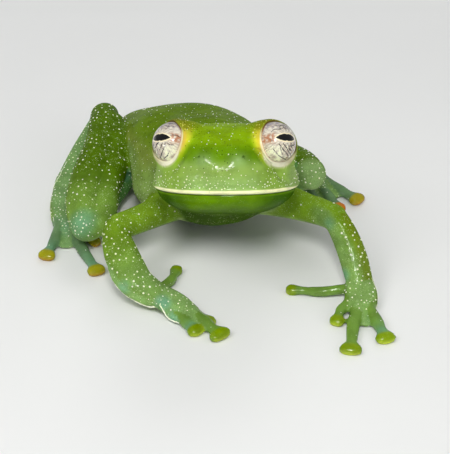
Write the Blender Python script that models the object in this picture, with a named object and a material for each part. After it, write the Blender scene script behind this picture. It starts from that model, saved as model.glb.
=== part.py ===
"""A life-size glass frog that sits with its head raised, in separate solids.

Metres, +Z up. The nose points towards -Y, and the frog's own left is +X. Sizes below are in millimetres,
in a working frame whose origin is on the floor under the middle of the two eyes. At the end the whole frog
is shifted, so that the origin lies under the middle of its bounding box.
"""

import math

import bmesh
import bpy
from mathutils import Matrix, Vector

MM = 0.001
GAP = 0.3
WELD = 0.004

# The head: where it is, and how it is turned.
EYE_HEIGHT = 11.48
HEAD_MIDDLE_X = 0.1
HEAD_PITCH = 28.0
HEAD_YAW = 4.0
HEAD_ROLL = 2.1

# The eyes look outwards and a little up, with the rim of the lids square to that line.
EYE_RADIUS = 1.48
EYE_HALF_SPACING = 3.5
EYE_TURN_OUT = 31.0
EYE_TURN_UP = 19.0
EYE_GAP = 0.2
LID_THICKNESS = 0.24
LID_SET_BACK = 0.3
LID_RING_AT = 0.42

# The brow that fills the skin between each eye and the crown: ahead of the eyes, out, up.
BROW_AT = (-0.7, 2.6, -0.15)
BROW_RADIUS = 1.7

# The nostrils, on two low swellings at the front of the snout: ahead of the eyes, out, up.
NOSTRIL_AT = (3.22, 0.95, -0.88)
NOSTRIL_SWELL = 0.5
NOSTRIL_HOLE = 0.19

# Level outlines of the head: height above the eyes, front, back, half width, depth of the lips or mouth line.
HEAD_LEVELS = [
    (1.18, -0.9, -3.6, 1.5, 0.0),
    (1.02, 0.2, -4.3, 2.4, 0.0),
    (0.66, 1.3, -5.2, 3.1, 0.0),
    (0.18, 2.35, -6.4, 3.6, 0.0),
    (-0.35, 3.2, -6.6, 4.0, 0.0),
    (-0.90, 3.66, -6.6, 4.35, 0.0),
    (-1.55, 3.72, -6.6, 4.6, 0.0),
    (-2.20, 3.52, -6.6, 4.8, 0.0),
    (-2.74, 3.32, -6.6, 4.93, 0.0),
    (-2.84, 3.32, -6.6, 4.95, 0.11),
    (-3.08, 3.30, -6.6, 4.95, 0.11),
    (-3.16, 3.28, -6.6, 4.93, -0.14),
    (-3.25, 3.26, -6.6, 4.93, -0.14),
    (-3.34, 3.24, -6.6, 4.9, 0.0),
    (-3.75, 2.95, -6.6, 4.75, 0.0),
    (-4.20, 2.2, -6.6, 4.35, 0.0),
    (-4.60, 1.1, -6.6, 3.7, 0.0),
    (-4.95, -0.5, -6.6, 2.9, 0.0),
    (-5.15, -2.2, -6.4, 2.0, 0.0),
]
HEAD_WIDEST_AT = -2.6
SNOUT_SQUARENESS = 2.35
NAPE_SQUARENESS = 4.0
MOUTH_ENDS_AT = -4.1
MOUTH_DROP = 0.015
HEAD_SIDES = 34
NECK_AT = -5.3

# The torso behind the neck: middle of the section, half width, height above the middle, depth below it.
TORSO_STATIONS = [
    (0.00, 5.30, 5.85, 4.60, 3.55, 4.05),
    (-1.00, 8.00, 4.90, 4.60, 3.75, 4.35),
    (-2.75, 12.00, 3.70, 4.75, 3.25, 3.80),
    (-4.40, 15.50, 2.70, 4.05, 2.25, 2.80),
    (-5.60, 18.30, 1.85, 2.90, 1.35, 1.90),
    (-6.25, 20.00, 1.30, 1.85, 0.80, 1.30),
    (-6.50, 20.80, 1.05, 1.00, 0.45, 0.90),
]
NECK_SECTION = (4.6, 3.05, 2.95)
NECK_MIDDLE = -2.55
TORSO_SQUARENESS = 2.2
NECK_SQUARENESS = 2.8
TORSO_SIDES = 28

# Limbs from the root out: x, y, z of the middle line, then half width and half height of the section.
ARM_LEFT = {
    "upper_arm": [(2.9, 5.6, 3.6, 1.6, 1.5), (5.2, 3.7, 4.0, 1.15, 1.15), (7.9, 1.5, 4.45, 0.95, 0.95)],
    "forearm": [(8.0, 1.35, 4.4, 0.85, 0.95), (8.85, 0.1, 3.3, 0.98, 0.95), (9.35, -0.9, 2.3, 1.02, 0.9),
                (9.75, -2.2, 1.2, 0.98, 0.7)],
    "hand": [(9.8, -2.1, 1.1, 0.95, 0.7), (9.8, -3.2, 0.75, 1.25, 0.6), (9.7, -4.6, 0.45, 1.2, 0.42)],
}
FINGERS_LEFT = [
    [(9.2, -2.1, 0.6), (6.9, -2.2, 0.38), (4.75, -1.8, 0.28), 0.34, 0.46],
    [(9.2, -3.2, 0.55), (8.3, -4.5, 0.4), (7.95, -5.75, 0.28), 0.34, 0.55],
    [(9.6, -3.9, 0.55), (9.1, -6.3, 0.42), (8.8, -9.05, 0.28), 0.44, 0.82],
    [(10.1, -3.9, 0.55), (10.8, -5.9, 0.42), (11.35, -7.75, 0.28), 0.42, 0.74],
]
ARM_RIGHT = {
    "upper_arm": [(-2.6, 5.7, 3.2, 1.5, 1.4), (-5.0, 3.0, 3.6, 1.05, 1.05), (-7.4, 0.7, 4.0, 0.92, 0.95)],
    "forearm": [(-7.6, 0.4, 3.9, 0.95, 0.95), (-7.2, -1.2, 3.0, 1.25, 0.95), (-6.2, -2.8, 2.0, 1.28, 0.85),
                (-4.7, -3.5, 1.2, 1.0, 0.7)],
    "hand": [(-4.6, -3.3, 1.05, 0.9, 0.7), (-3.5, -4.1, 0.75, 1.15, 0.6), (-2.2, -5.2, 0.45, 1.0, 0.42)],
}
FINGERS_RIGHT = [
    [(-4.5, -2.6, 0.6), (-4.0, -1.0, 0.4), (-3.3, 0.75, 0.28), 0.34, 0.46],
    [(-3.3, -3.9, 0.55), (-1.95, -4.7, 0.4), (-0.75, -5.7, 0.28), 0.32, 0.42],
    [(-2.4, -4.8, 0.55), (-1.15, -6.05, 0.42), (-0.05, -7.3, 0.28), 0.43, 0.88],
    [(-3.05, -5.0, 0.55), (-2.45, -6.0, 0.42), (-1.75, -6.85, 0.28), 0.42, 0.64],
]
LEG_RIGHT = {
    "thigh": [(-5.2, 16.8, 2.3, 1.8, 1.7), (-7.2, 13.0, 2.1, 1.6, 1.5), (-8.3, 9.0, 2.1, 1.4, 1.35),
              (-9.2, 4.8, 2.4, 1.2, 1.15)],
    "shank": [(-9.85, 3.2, 2.5, 1.3, 1.25), (-10.1, 5.3, 3.1, 1.45, 1.35), (-9.7, 8.2, 3.6, 1.5, 1.35),
              (-9.2, 11.5, 3.8, 1.35, 1.25), (-9.1, 15.0, 3.7, 1.1, 1.05), (-9.2, 17.2, 3.3, 0.95, 0.95)],
    "tarsus": [(-9.6, 17.3, 2.6, 0.9, 0.85), (-11.0, 14.0, 1.7, 0.8, 0.75), (-12.0, 10.8, 0.95, 0.85, 0.72)],
    "foot": [(-12.0, 11.0, 0.95, 0.8, 0.7), (-11.8, 8.4, 0.65, 1.3, 0.55), (-11.4, 6.0, 0.45, 1.45, 0.42),
             (-11.3, 4.6, 0.3, 1.05, 0.3)],
}
TOES_RIGHT = [
    [(-11.4, 9.2, 0.5), (-10.6, 8.4, 0.36), (-10.0, 7.7, 0.26), 0.3, 0.42],
    [(-11.2, 7.9, 0.5), (-10.3, 6.7, 0.36), (-9.7, 5.9, 0.26), 0.3, 0.42],
    [(-11.2, 6.9, 0.45), (-10.1, 5.2, 0.36), (-9.3, 4.1, 0.26), 0.3, 0.44],
    [(-11.3, 6.0, 0.45), (-10.3, 3.1, 0.4), (-9.05, 0.35, 0.28), 0.4, 0.7],
    [(-12.1, 6.4, 0.45), (-12.4, 4.2, 0.4), (-12.9, 2.25, 0.28), 0.38, 0.66],
]
LEG_LEFT = {
    "thigh": [(-3.0, 17.0, 2.4, 1.8, 1.7), (-0.5, 13.6, 2.5, 1.6, 1.5), (2.2, 10.6, 2.8, 1.45, 1.4),
              (4.9, 8.2, 3.5, 1.2, 1.15)],
    "shank": [(6.5, 7.2, 4.3, 1.15, 1.2), (5.7, 9.8, 3.4, 1.4, 1.3), (4.3, 12.7, 2.5, 1.35, 1.2),
              (2.3, 16.0, 1.6, 1.1, 1.05), (0.5, 18.7, 1.2, 0.92, 0.92)],
    "tarsus": [(0.9, 19.2, 0.95, 0.86, 0.8), (3.3, 17.6, 0.95, 0.8, 0.75), (5.2, 15.7, 0.9, 0.85, 0.72)],
    "foot": [(4.9, 15.8, 0.95, 0.8, 0.7), (6.0, 13.6, 0.65, 1.3, 0.55), (7.2, 11.8, 0.45, 1.4, 0.42),
             (7.9, 10.9, 0.3, 1.0, 0.3)],
}
TOES_LEFT = [
    [(5.5, 14.0, 0.5), (4.9, 12.7, 0.36), (4.7, 11.5, 0.26), 0.3, 0.42],
    [(5.9, 13.2, 0.5), (5.8, 11.4, 0.36), (5.9, 10.1, 0.26), 0.3, 0.45],
    [(6.3, 12.9, 0.45), (6.8, 10.6, 0.36), (7.2, 8.9, 0.26), 0.32, 0.5],
    [(7.2, 12.0, 0.45), (8.1, 10.0, 0.38), (8.85, 8.45, 0.28), 0.38, 0.55],
    [(7.6, 12.4, 0.45), (9.0, 10.9, 0.4), (10.35, 9.75, 0.28), 0.4, 0.7],
]
SIDES = 12
STEPS_PER_SPAN = 2
DIGIT_SIDES = 8
DIGIT_STEPS = 2
DISC_HALF_HEIGHT = 0.34
DISC_LENGTH = 0.85
CAP_RINGS = 2

SKIN = ("skin", (0.2, 0.4, 0.04, 1.0), 0.35)
DIGIT_SKIN = ("digit_skin", (0.36, 0.46, 0.12, 1.0), 0.3)
IRIS = ("iris", (0.72, 0.66, 0.55, 1.0), 0.1)


def material(name, colour, roughness):
    """The Principled material of this name, made the first time that it is asked for."""
    found = bpy.data.materials.get(name)
    if found:
        return found
    made = bpy.data.materials.new(name)
    made.use_nodes = True
    shader = made.node_tree.nodes["Principled BSDF"]
    shader.inputs["Base Color"].default_value = colour
    shader.inputs["Roughness"].default_value = roughness
    shader.inputs["Metallic"].default_value = 0.0
    return made


def node(name, mesh, paint, group):
    mesh.name = name
    mesh.materials.append(material(*paint))
    made = bpy.data.objects.new(name, mesh)
    group.objects.link(made)
    return made


def eased(points, steps):
    """Rows on a smooth Catmull-Rom line through these rows, with this many steps a span."""
    rows = [Vector(p) for p in points]
    rows = [rows[0] * 2 - rows[1]] + rows + [rows[-1] * 2 - rows[-2]]
    out = []
    for a, b, c, d in zip(rows, rows[1:], rows[2:], rows[3:]):
        for k in range(steps):
            t = k / steps
            bend = (a * 2 - b * 5 + c * 4 - d) * t**2 + (b * 3 - a - c * 3 + d) * t**3
            out.append((b * 2 + (c - a) * t + bend) * 0.5)
    out.append(rows[-2])
    return out


def mesh_from(bm):
    mesh = bpy.data.meshes.new("piece")
    bm.to_mesh(mesh)
    bm.free()
    return mesh


def closed_mesh(rings):
    """A closed mesh through rings of points in millimetres, flat where it would pass below the floor."""
    bm = bmesh.new()
    loops = [[bm.verts.new(p * MM) for p in ring] for ring in rings]
    for near, far in zip(loops, loops[1:]):
        for a, b, c, d in zip(near, near[1:] + near[:1], far[1:] + far[:1], far):
            bm.faces.new((a, b, c, d))
    ends = [bm.faces.new(loops[0]), bm.faces.new(loops[-1])]
    bmesh.ops.poke(bm, faces=ends)
    bmesh.ops.recalc_face_normals(bm, faces=bm.faces)
    for v in bm.verts:
        v.co.z = max(v.co.z, 0.0)
    return mesh_from(bm)


def tangents_of(middles, before=None):
    """Unit directions along a line of points."""
    out = []
    for i, middle in enumerate(middles):
        ahead = middles[min(i + 1, len(middles) - 1)]
        behind = middles[i - 1] if i else (before or middle)
        out.append((ahead - behind).normalized())
    return out


def tube_rings(stations, sides, steps):
    """Rings of an elliptical tube with rounded ends along rows of x, y, z, half width and half height."""
    rows = eased(stations, steps)
    middles = [Vector(r[:3]) for r in rows]
    body = [(m, t, r[3], r[4]) for m, t, r in zip(middles, tangents_of(middles), rows)]
    for end, way in ((body[0], -1), (body[-1], 1)):
        middle, along, wide, high = end
        reach = min(wide, high)
        turns = [math.pi / 2 * k / (CAP_RINGS + 0.35) for k in range(1, CAP_RINGS + 1)]
        cap = [(middle + along * way * reach * math.sin(a), along, wide * math.cos(a), high * math.cos(a))
               for a in turns]
        body = cap[::-1] + body if way < 0 else body + cap
    rings = []
    angles = [2 * math.pi * k / sides for k in range(sides)]
    for middle, along, wide, high in body:
        side = along.cross(Vector((0.0, 0.0, 1.0))).normalized()
        top = side.cross(along)
        rings.append([middle + side * wide * math.cos(a) + top * high * math.sin(a) for a in angles])
    return rings


def head_axes():
    """The head's forward, left and up directions."""
    pitch, yaw = math.radians(HEAD_PITCH), math.radians(HEAD_YAW)
    forward = Vector((-math.sin(yaw) * math.cos(pitch), -math.cos(yaw) * math.cos(pitch), math.sin(pitch)))
    level = Vector((math.cos(yaw), -math.sin(yaw), 0.0))
    left = Matrix.Rotation(math.radians(HEAD_ROLL), 3, forward) @ level
    return forward, left, forward.cross(left)


def head_point(ahead, out, up):
    """A place on the head, measured from the middle of the eyes."""
    forward, left, upward = head_axes()
    return Vector((HEAD_MIDDLE_X, 0.0, EYE_HEIGHT)) + forward * ahead + left * out + upward * up


def eye_axis(side):
    """Where an eye looks, side being 1 for the frog's left and -1 for its right."""
    forward, left, up = head_axes()
    out, rise = math.radians(EYE_TURN_OUT), math.radians(EYE_TURN_UP)
    flat = forward * math.cos(out) + left * side * math.sin(out)
    return flat * math.cos(rise) + up * math.sin(rise)


def squared(angle, power):
    """A point on a unit superellipse, squarer as the power grows."""
    c, s = math.cos(angle), math.sin(angle)
    return math.copysign(abs(c) ** (2 / power), c), math.copysign(abs(s) ** (2 / power), s)


def head_outline(level):
    """One level outline of the head, with the lips proud of it and the line of the mouth cut into it."""
    up, front, back, half_width, lip = level
    ring = []
    for k in range(HEAD_SIDES):
        angle = 2 * math.pi * k / HEAD_SIDES
        x, y = squared(angle, SNOUT_SQUARENESS if math.sin(angle) > 0 else NAPE_SQUARENESS)
        reach = front - HEAD_WIDEST_AT if y > 0 else HEAD_WIDEST_AT - back
        ahead = HEAD_WIDEST_AT + reach * y
        fade = min(max((ahead - MOUTH_ENDS_AT) / 0.8, 0.0), 1.0)
        spread = 1 + lip * fade / half_width
        drop = MOUTH_DROP * (front - ahead) * min(max(-up / 2.5, 0.0), 1.0)
        ring.append(head_point(HEAD_WIDEST_AT + reach * y * spread, half_width * x * spread, up - drop))
    return ring


def cut_flat(mesh, point, normal):
    """Cuts off what lies beyond a plane and closes the cut with one flat face."""
    bm = bmesh.new()
    bm.from_mesh(mesh)
    everything = bm.verts[:] + bm.edges[:] + bm.faces[:]
    made = bmesh.ops.bisect_plane(bm, geom=everything, clear_outer=True, plane_co=point * MM, plane_no=normal)
    rim = [e for e in made["geom_cut"] if isinstance(e, bmesh.types.BMEdge)]
    bmesh.ops.contextual_create(bm, geom=rim)
    bmesh.ops.recalc_face_normals(bm, faces=bm.faces)
    return mesh_from(bm)


def ball(middle, radius, across, down, turned=None):
    """A sphere, with its poles along a direction if one is given."""
    bm = bmesh.new()
    place = Matrix.Translation(middle * MM)
    if turned:
        place = place @ turned.to_track_quat("Z", "Y").to_matrix().to_4x4()
    bmesh.ops.create_uvsphere(bm, u_segments=across, v_segments=down, radius=radius * MM, matrix=place)
    return mesh_from(bm)


def grown(mesh, distance):
    """A copy of a closed mesh that is this much larger all round."""
    copy = mesh.copy()
    normals = [v.normal.copy() for v in copy.vertices]
    for v, n in zip(copy.vertices, normals):
        v.co = v.co + n * distance * MM
    return copy


def near_each_other(one, other):
    """Whether the boxes round two meshes meet."""
    for axis in range(3):
        ours = [v.co[axis] for v in one.vertices]
        theirs = [v.co[axis] for v in other.vertices]
        if max(ours) < min(theirs) or max(theirs) < min(ours):
            return False
    return True


def boolean(piece, mesh, operation):
    """Joins a closed mesh to a node or cuts it out of the node."""
    tool = bpy.data.objects.new("tool", mesh)
    bpy.context.scene.collection.objects.link(tool)
    modifier = piece.modifiers.new("cut", "BOOLEAN")
    modifier.operation = operation
    modifier.solver = "EXACT"
    modifier.object = tool
    graph = bpy.context.evaluated_depsgraph_get()
    made = bpy.data.meshes.new_from_object(piece.evaluated_get(graph))
    piece.modifiers.clear()
    paint = piece.data.materials[0]
    piece.data = made
    made.name = piece.name
    made.materials.clear()
    made.materials.append(paint)
    bpy.data.objects.remove(tool)
    keep_largest(made)


def keep_largest(mesh):
    """Welds tiny edges and drops every closed surface but the largest."""
    bm = bmesh.new()
    bm.from_mesh(mesh)
    bmesh.ops.triangulate(bm, faces=bm.faces)
    bmesh.ops.dissolve_degenerate(bm, dist=WELD * MM, edges=bm.edges)
    unseen = set(bm.verts)
    islands = []
    while unseen:
        stack = [unseen.pop()]
        island = set(stack)
        while stack:
            for edge in stack.pop().link_edges:
                fresh = [v for v in edge.verts if v in unseen]
                unseen.difference_update(fresh)
                island.update(fresh)
                stack.extend(fresh)
        islands.append(island)
    islands.sort(key=len)
    for island in islands[:-1]:
        bmesh.ops.delete(bm, geom=list(island), context="VERTS")
    bm.to_mesh(mesh)
    bm.free()


def build_head(group):
    """The head with its lids, lips, mouth line and nostrils, and the two eyes."""
    forward = head_axes()[0]
    whole_head = closed_mesh([head_outline(level) for level in HEAD_LEVELS])
    shell = cut_flat(whole_head, head_point(NECK_AT, 0, 0), -forward)
    head = node("head", shell, SKIN, group)
    ahead, out, up = NOSTRIL_AT
    for side, name in ((1, "eye_left"), (-1, "eye_right")):
        middle = head_point(0.0, side * EYE_HALF_SPACING, 0.0)
        axis = eye_axis(side)
        lids = ball(middle - axis * LID_SET_BACK, EYE_RADIUS + EYE_GAP + LID_THICKNESS, 20, 12, axis)
        boolean(head, cut_flat(lids, middle + axis * LID_RING_AT, axis), "UNION")
        brow = head_point(BROW_AT[0], side * BROW_AT[1], BROW_AT[2])
        boolean(head, ball(brow, BROW_RADIUS, 16, 9), "UNION")
        boolean(head, ball(middle, EYE_RADIUS + EYE_GAP, 20, 12, axis), "DIFFERENCE")
        boolean(head, ball(head_point(ahead, side * out, up), NOSTRIL_SWELL, 10, 6), "UNION")
        hole = head_point(ahead + 0.3, side * (out + 0.26), up + 0.26)
        boolean(head, ball(hole, NOSTRIL_HOLE, 8, 6), "DIFFERENCE")
        node(name, ball(middle, EYE_RADIUS, 18, 11, axis), IRIS, group)


def torso_rings():
    """Rings of the torso from the neck, where it is parallel to the back of the head, to the vent."""
    forward, left, up = head_axes()
    neck = head_point(NECK_AT - GAP, 0.0, NECK_MIDDLE)
    wide, high, deep = NECK_SECTION
    angles = [2 * math.pi * k / TORSO_SIDES for k in range(TORSO_SIDES)]
    section = [squared(a, NECK_SQUARENESS) for a in angles]
    rings = [[neck + left * wide * x + up * (high if y > 0 else deep) * y for x, y in section]]
    section = [squared(a, TORSO_SQUARENESS) for a in angles]
    rows = eased(TORSO_STATIONS, 2)
    middles = [Vector(r[:3]) for r in rows]
    for row, middle, along in zip(rows, middles, tangents_of(middles, neck)):
        side = along.cross(Vector((0.0, 0.0, 1.0))).normalized()
        top = side.cross(along)
        wide, high, deep = row[3:]
        rings.append([middle + side * wide * x + top * (high if y > 0 else deep) * y for x, y in section])
    return rings


def digit_stations(root, bend, tip, thick, disc):
    """Stations of a finger or toe that ends in a flat, blunt disc."""
    root, bend, tip = Vector(root), Vector(bend), Vector(tip)
    last = (tip - bend).normalized()
    neck = tip - last * DISC_LENGTH
    middle = tip - last * DISC_LENGTH * 0.4
    return [
        (*root, thick * 1.15, thick * 1.1),
        (*bend, thick, thick * 0.95),
        (*neck, thick * 0.95, thick * 0.85),
        (*middle, disc * 0.95, DISC_HALF_HEIGHT),
        (*tip, disc, DISC_HALF_HEIGHT * 0.75),
    ]


def build_limb(side, pieces, digit, digits, group, body):
    """An arm or a leg. Each piece is cut clear of the body and of the pieces before it."""
    earlier = [body]
    made = [(name, tube_rings(stations, SIDES, STEPS_PER_SPAN), SKIN) for name, stations in pieces.items()]
    for number, row in enumerate(digits, 1):
        rings = tube_rings(digit_stations(*row), DIGIT_SIDES, DIGIT_STEPS)
        made.append((f"{digit}_{number}", rings, DIGIT_SKIN))
    for name, rings, paint in made:
        mesh = closed_mesh(rings)
        whole = mesh.copy()
        piece = node(f"{name}_{side}", mesh, paint, group)
        for other in earlier:
            wider = grown(other, GAP)
            if near_each_other(piece.data, wider):
                boolean(piece, wider, "DIFFERENCE")
        earlier.append(whole)


def put_origin_under_middle(group):
    """Shifts the frog, so that the origin is under the middle of its bounding box."""
    corners = [v.co for piece in group.objects for v in piece.data.vertices]
    low = Vector([min(c[i] for c in corners) for i in range(3)])
    high = Vector([max(c[i] for c in corners) for i in range(3)])
    shift = Matrix.Translation((-(low.x + high.x) / 2, -(low.y + high.y) / 2, -low.z))
    for piece in group.objects:
        piece.data.transform(shift)
        piece.data.shade_smooth()


def main():
    for thing in list(bpy.data.objects):
        bpy.data.objects.remove(thing)
    group = bpy.data.collections.new("glass_frog")
    bpy.context.scene.collection.children.link(group)
    build_head(group)
    torso = node("torso", closed_mesh(torso_rings()), SKIN, group)
    body = torso.data.copy()
    build_limb("left", ARM_LEFT, "finger", FINGERS_LEFT, group, body)
    build_limb("right", ARM_RIGHT, "finger", FINGERS_RIGHT, group, body)
    build_limb("left", LEG_LEFT, "toe", TOES_LEFT, group, body)
    build_limb("right", LEG_RIGHT, "toe", TOES_RIGHT, group, body)
    put_origin_under_middle(group)


main()
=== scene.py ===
import math

import bmesh
import bpy
import numpy as np
from mathutils import Matrix, Vector
from mathutils.bvhtree import BVHTree


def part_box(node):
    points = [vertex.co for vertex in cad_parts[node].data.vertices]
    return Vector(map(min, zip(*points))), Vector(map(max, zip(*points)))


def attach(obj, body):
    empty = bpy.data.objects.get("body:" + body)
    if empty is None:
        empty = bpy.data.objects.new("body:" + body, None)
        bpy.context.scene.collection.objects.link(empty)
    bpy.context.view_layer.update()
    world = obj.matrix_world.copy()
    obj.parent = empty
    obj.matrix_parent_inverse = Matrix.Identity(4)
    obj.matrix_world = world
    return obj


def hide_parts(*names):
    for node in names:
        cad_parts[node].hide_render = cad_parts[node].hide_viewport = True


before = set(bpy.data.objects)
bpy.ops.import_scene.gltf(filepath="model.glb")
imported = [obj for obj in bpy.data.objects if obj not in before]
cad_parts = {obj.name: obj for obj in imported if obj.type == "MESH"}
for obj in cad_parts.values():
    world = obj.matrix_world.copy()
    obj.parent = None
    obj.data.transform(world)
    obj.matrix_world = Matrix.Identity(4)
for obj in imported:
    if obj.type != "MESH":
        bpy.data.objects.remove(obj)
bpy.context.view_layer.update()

# Everything is modelled in millimetres round the frog: +X is its left, -Y its nose, and z = 0 the floor
# under the middle of its eyes. settle() turns a finished piece to metres and puts it in the frame's place.
headPose = {"eyeHeight": 11.48, "middleX": 0.1, "pitch": 28.0, "yaw": 4.0, "roll": 2.1}

eyeMiddle = sum((sum(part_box(name), Vector()) for name in ("eye_left", "eye_right")), Vector()) / 4
toFrame = Matrix.Translation(eyeMiddle) @ Matrix.Scale(0.001, 4) @ Matrix.Translation(
    (-headPose["middleX"], 0.0, -headPose["eyeHeight"]))


def settle(piece, slotName, *nodes):
    piece.data.transform(toFrame)
    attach(piece, "root")
    if nodes:
        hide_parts(*nodes)
    print("made", piece.name, len(piece.data.polygons), "faces")


def newPiece(name, bm):
    mesh = bpy.data.meshes.new(name)
    bm.to_mesh(mesh)
    bm.free()
    mesh.shade_smooth()
    piece = bpy.data.objects.new(name, mesh)
    bpy.context.scene.collection.objects.link(piece)
    return piece


def readPoints(mesh):
    co = np.empty(len(mesh.vertices) * 3)
    mesh.vertices.foreach_get("co", co)
    return co.reshape(-1, 3)


def writePoints(mesh, points):
    mesh.vertices.foreach_set("co", points.astype(np.float32).ravel())
    mesh.update()


def readNormals(mesh):
    normals = np.empty(len(mesh.vertices) * 3)
    mesh.vertices.foreach_get("normal", normals)
    return normals.reshape(-1, 3)


def readEdges(mesh):
    pairs = np.empty(len(mesh.edges) * 2, int)
    mesh.edges.foreach_get("vertices", pairs)
    return pairs.reshape(-1, 2)


def neighbourMean(values, edges):
    a, b = edges.T
    count = np.bincount(a, minlength=len(values)) + np.bincount(b, minlength=len(values))
    total = [np.bincount(a, values[b, k], len(values)) + np.bincount(b, values[a, k], len(values))
             for k in range(values.shape[1])]
    return np.stack(total, 1) / np.maximum(count, 1)[:, None]


def relax(points, edges, weights, rounds, giveBack=0.0):
    # giveBack near 1 keeps the volume, 0 lets the form shrink into its creases
    for _ in range(rounds):
        points = points + 0.5 * weights[:, None] * (neighbourMean(points, edges) - points)
        if giveBack:
            points = points - 0.53 * giveBack * weights[:, None] * (neighbourMean(points, edges) - points)
    return points


def ramp(x, low, high):
    t = np.clip((np.asarray(x, float) - low) / (high - low), 0.0, 1.0)
    return t * t * (3 - 2 * t)


def hump(x, middle, width):
    return np.exp(-(((np.asarray(x, float) - middle) / width) ** 2))


def easedRows(rows, steps):
    # a Catmull-Rom line through rows of numbers
    rows = np.array(rows, float)
    padded = np.vstack((rows[0] * 2 - rows[1], rows, rows[-1] * 2 - rows[-2]))
    out = []
    for a, b, c, d in zip(padded, padded[1:], padded[2:], padded[3:]):
        for k in range(steps):
            t = k / steps
            out.append(0.5 * (b * 2 + (c - a) * t + (a * 2 - b * 5 + c * 4 - d) * t ** 2
                              + (b * 3 - a - c * 3 + d) * t ** 3))
    out.append(rows[-1])
    return np.array(out)


def squared(turn, power):
    c, s = math.cos(turn), math.sin(turn)
    return math.copysign(abs(c) ** (2 / power), c), math.copysign(abs(s) ** (2 / power), s)


def sweepRings(places, turns):
    # a closed form from one circle, extruded from place to place. Each place gives a point for a turn.
    bm = bmesh.new()
    turnOf = bm.verts.layers.float.new("turn")
    ring = bmesh.ops.create_circle(bm, segments=len(turns), radius=1.0)["verts"]
    for v, turn in zip(ring, turns):
        v[turnOf] = turn
        v.co = places[0](turn)
    ends = [ring]
    edges = bm.edges[:]
    for place in places[1:]:
        made = bmesh.ops.extrude_edge_only(bm, edges=edges)["geom"]
        ring = [v for v in made if isinstance(v, bmesh.types.BMVert)]
        edges = [e for e in made if isinstance(e, bmesh.types.BMEdge) and e.is_boundary]
        for v in ring:
            v.co = place(v[turnOf])
    ends.append(ring)
    for ring in ends:
        middle = sum((v.co for v in ring), Vector()) / len(ring)
        bmesh.ops.pointmerge(bm, verts=ring, merge_co=middle)
    bmesh.ops.recalc_face_normals(bm, faces=bm.faces)
    return bm


def addBm(target, bm):
    mesh = bpy.data.meshes.new("part")
    bm.to_mesh(mesh)
    bm.free()
    target.from_mesh(mesh)
    bpy.data.meshes.remove(mesh)


# The head's own directions.
pitch, yaw = math.radians(headPose["pitch"]), math.radians(headPose["yaw"])
headForward = Vector((-math.sin(yaw) * math.cos(pitch), -math.cos(yaw) * math.cos(pitch), math.sin(pitch)))
headLeft = Matrix.Rotation(math.radians(headPose["roll"]), 3, headForward) @ Vector(
    (math.cos(yaw), -math.sin(yaw), 0.0))
headUp = headForward.cross(headLeft)
headMiddle = Vector((headPose["middleX"], 0.0, headPose["eyeHeight"]))


def headPoint(ahead, out, up):
    return headMiddle + headForward * ahead + headLeft * out + headUp * up


def inHead(points):
    away = points - np.array(headMiddle)
    return np.stack([away @ np.array(axis) for axis in (headForward, headLeft, headUp)], 1)


eyeForm = {
    "radius": 1.48, "spacing": 3.5, "turnOut": 31.0, "turnUp": 19.0, "lidRadius": 1.6, "levelTilt": 34.2,
    # turn round the eye (0 rear, 90 up, 180 nose, 270 down), then how far from the look its lids begin
    "lidsLeft": [(0, 80), (60, 79), (90, 80), (110, 75.5), (125, 68.5), (141, 63.5), (161, 62), (192, 61.5),
                 (216, 65), (233, 71), (249, 76.5), (271, 78), (295, 78.5), (325, 80)],
    "lidsRight": [(0, 78), (60, 80), (80, 76), (94, 68), (108, 61.5), (123, 56.5), (146, 55.5), (169, 53.5),
                  (193, 53), (215, 54.5), (236, 61), (254, 67.5), (274, 73), (300, 74.5), (330, 77)]}


def eyePlace(side):
    # middle of the eye, where it looks, its level direction away from the nose, and its own up
    out, rise, tilt = (math.radians(eyeForm[key]) for key in ("turnOut", "turnUp", "levelTilt"))
    flat = headForward * math.cos(out) + headLeft * side * math.sin(out)
    look = flat * math.cos(rise) + headUp * math.sin(rise)
    rear = Vector((0.0, math.sin(tilt), math.cos(tilt))).cross(look).normalized() * side
    up = look.cross(rear) * side
    return headPoint(0.0, side * eyeForm["spacing"], 0.0), look, rear, up


def lidEdge(spin, side):
    # angle between the look and the edge of the lids, by the turn round the eye
    turns, angles = zip(*eyeForm["lidsLeft" if side > 0 else "lidsRight"])
    around = [np.interp(np.degrees(spin) + shift, turns, angles, period=360) for shift in (-9, -4.5, 0, 4.5, 9)]
    return np.radians(sum(around) / 5)


# The head, level by level.
headForm = {
    # up, front, back, half width, where it is widest
    "levels": [
        (1.25, -2.2, -2.9, 0.25, -2.5), (1.18, -0.9, -3.8, 1.5, -2.5), (1.02, 0.2, -4.6, 2.4, -2.6),
        (0.66, 1.3, -5.4, 3.1, -2.6), (0.18, 2.3, -6.4, 3.6, -2.6), (-0.35, 3.05, -6.6, 4.0, -2.6),
        (-0.90, 3.47, -6.6, 4.35, -2.6), (-1.55, 3.67, -6.6, 4.63, -2.6), (-2.20, 3.66, -6.6, 4.85, -2.6),
        (-2.75, 3.45, -6.6, 4.98, -2.6), (-3.45, 3.22, -6.6, 4.93, -2.6), (-3.85, 2.85, -6.6, 4.7, -2.6),
        (-4.25, 2.1, -6.6, 4.3, -2.6), (-4.62, 1.0, -6.6, 3.7, -2.6), (-4.95, -0.5, -6.6, 2.9, -2.7),
        (-5.18, -2.2, -6.9, 2.1, -3.6), (-5.36, -4.0, -7.4, 1.4, -5.2), (-5.5, -5.6, -7.9, 0.4, -6.7)],
    "frontSquare": 2.35, "backSquare": 4.0,
    "mouthLevel": -3.3, "mouthEnds": -4.1, "mouthDrop": -0.02,
    "frontSides": 160, "backSides": 18, "step": 0.125, "lipStep": 0.042, "cutAt": -5.15}


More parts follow.
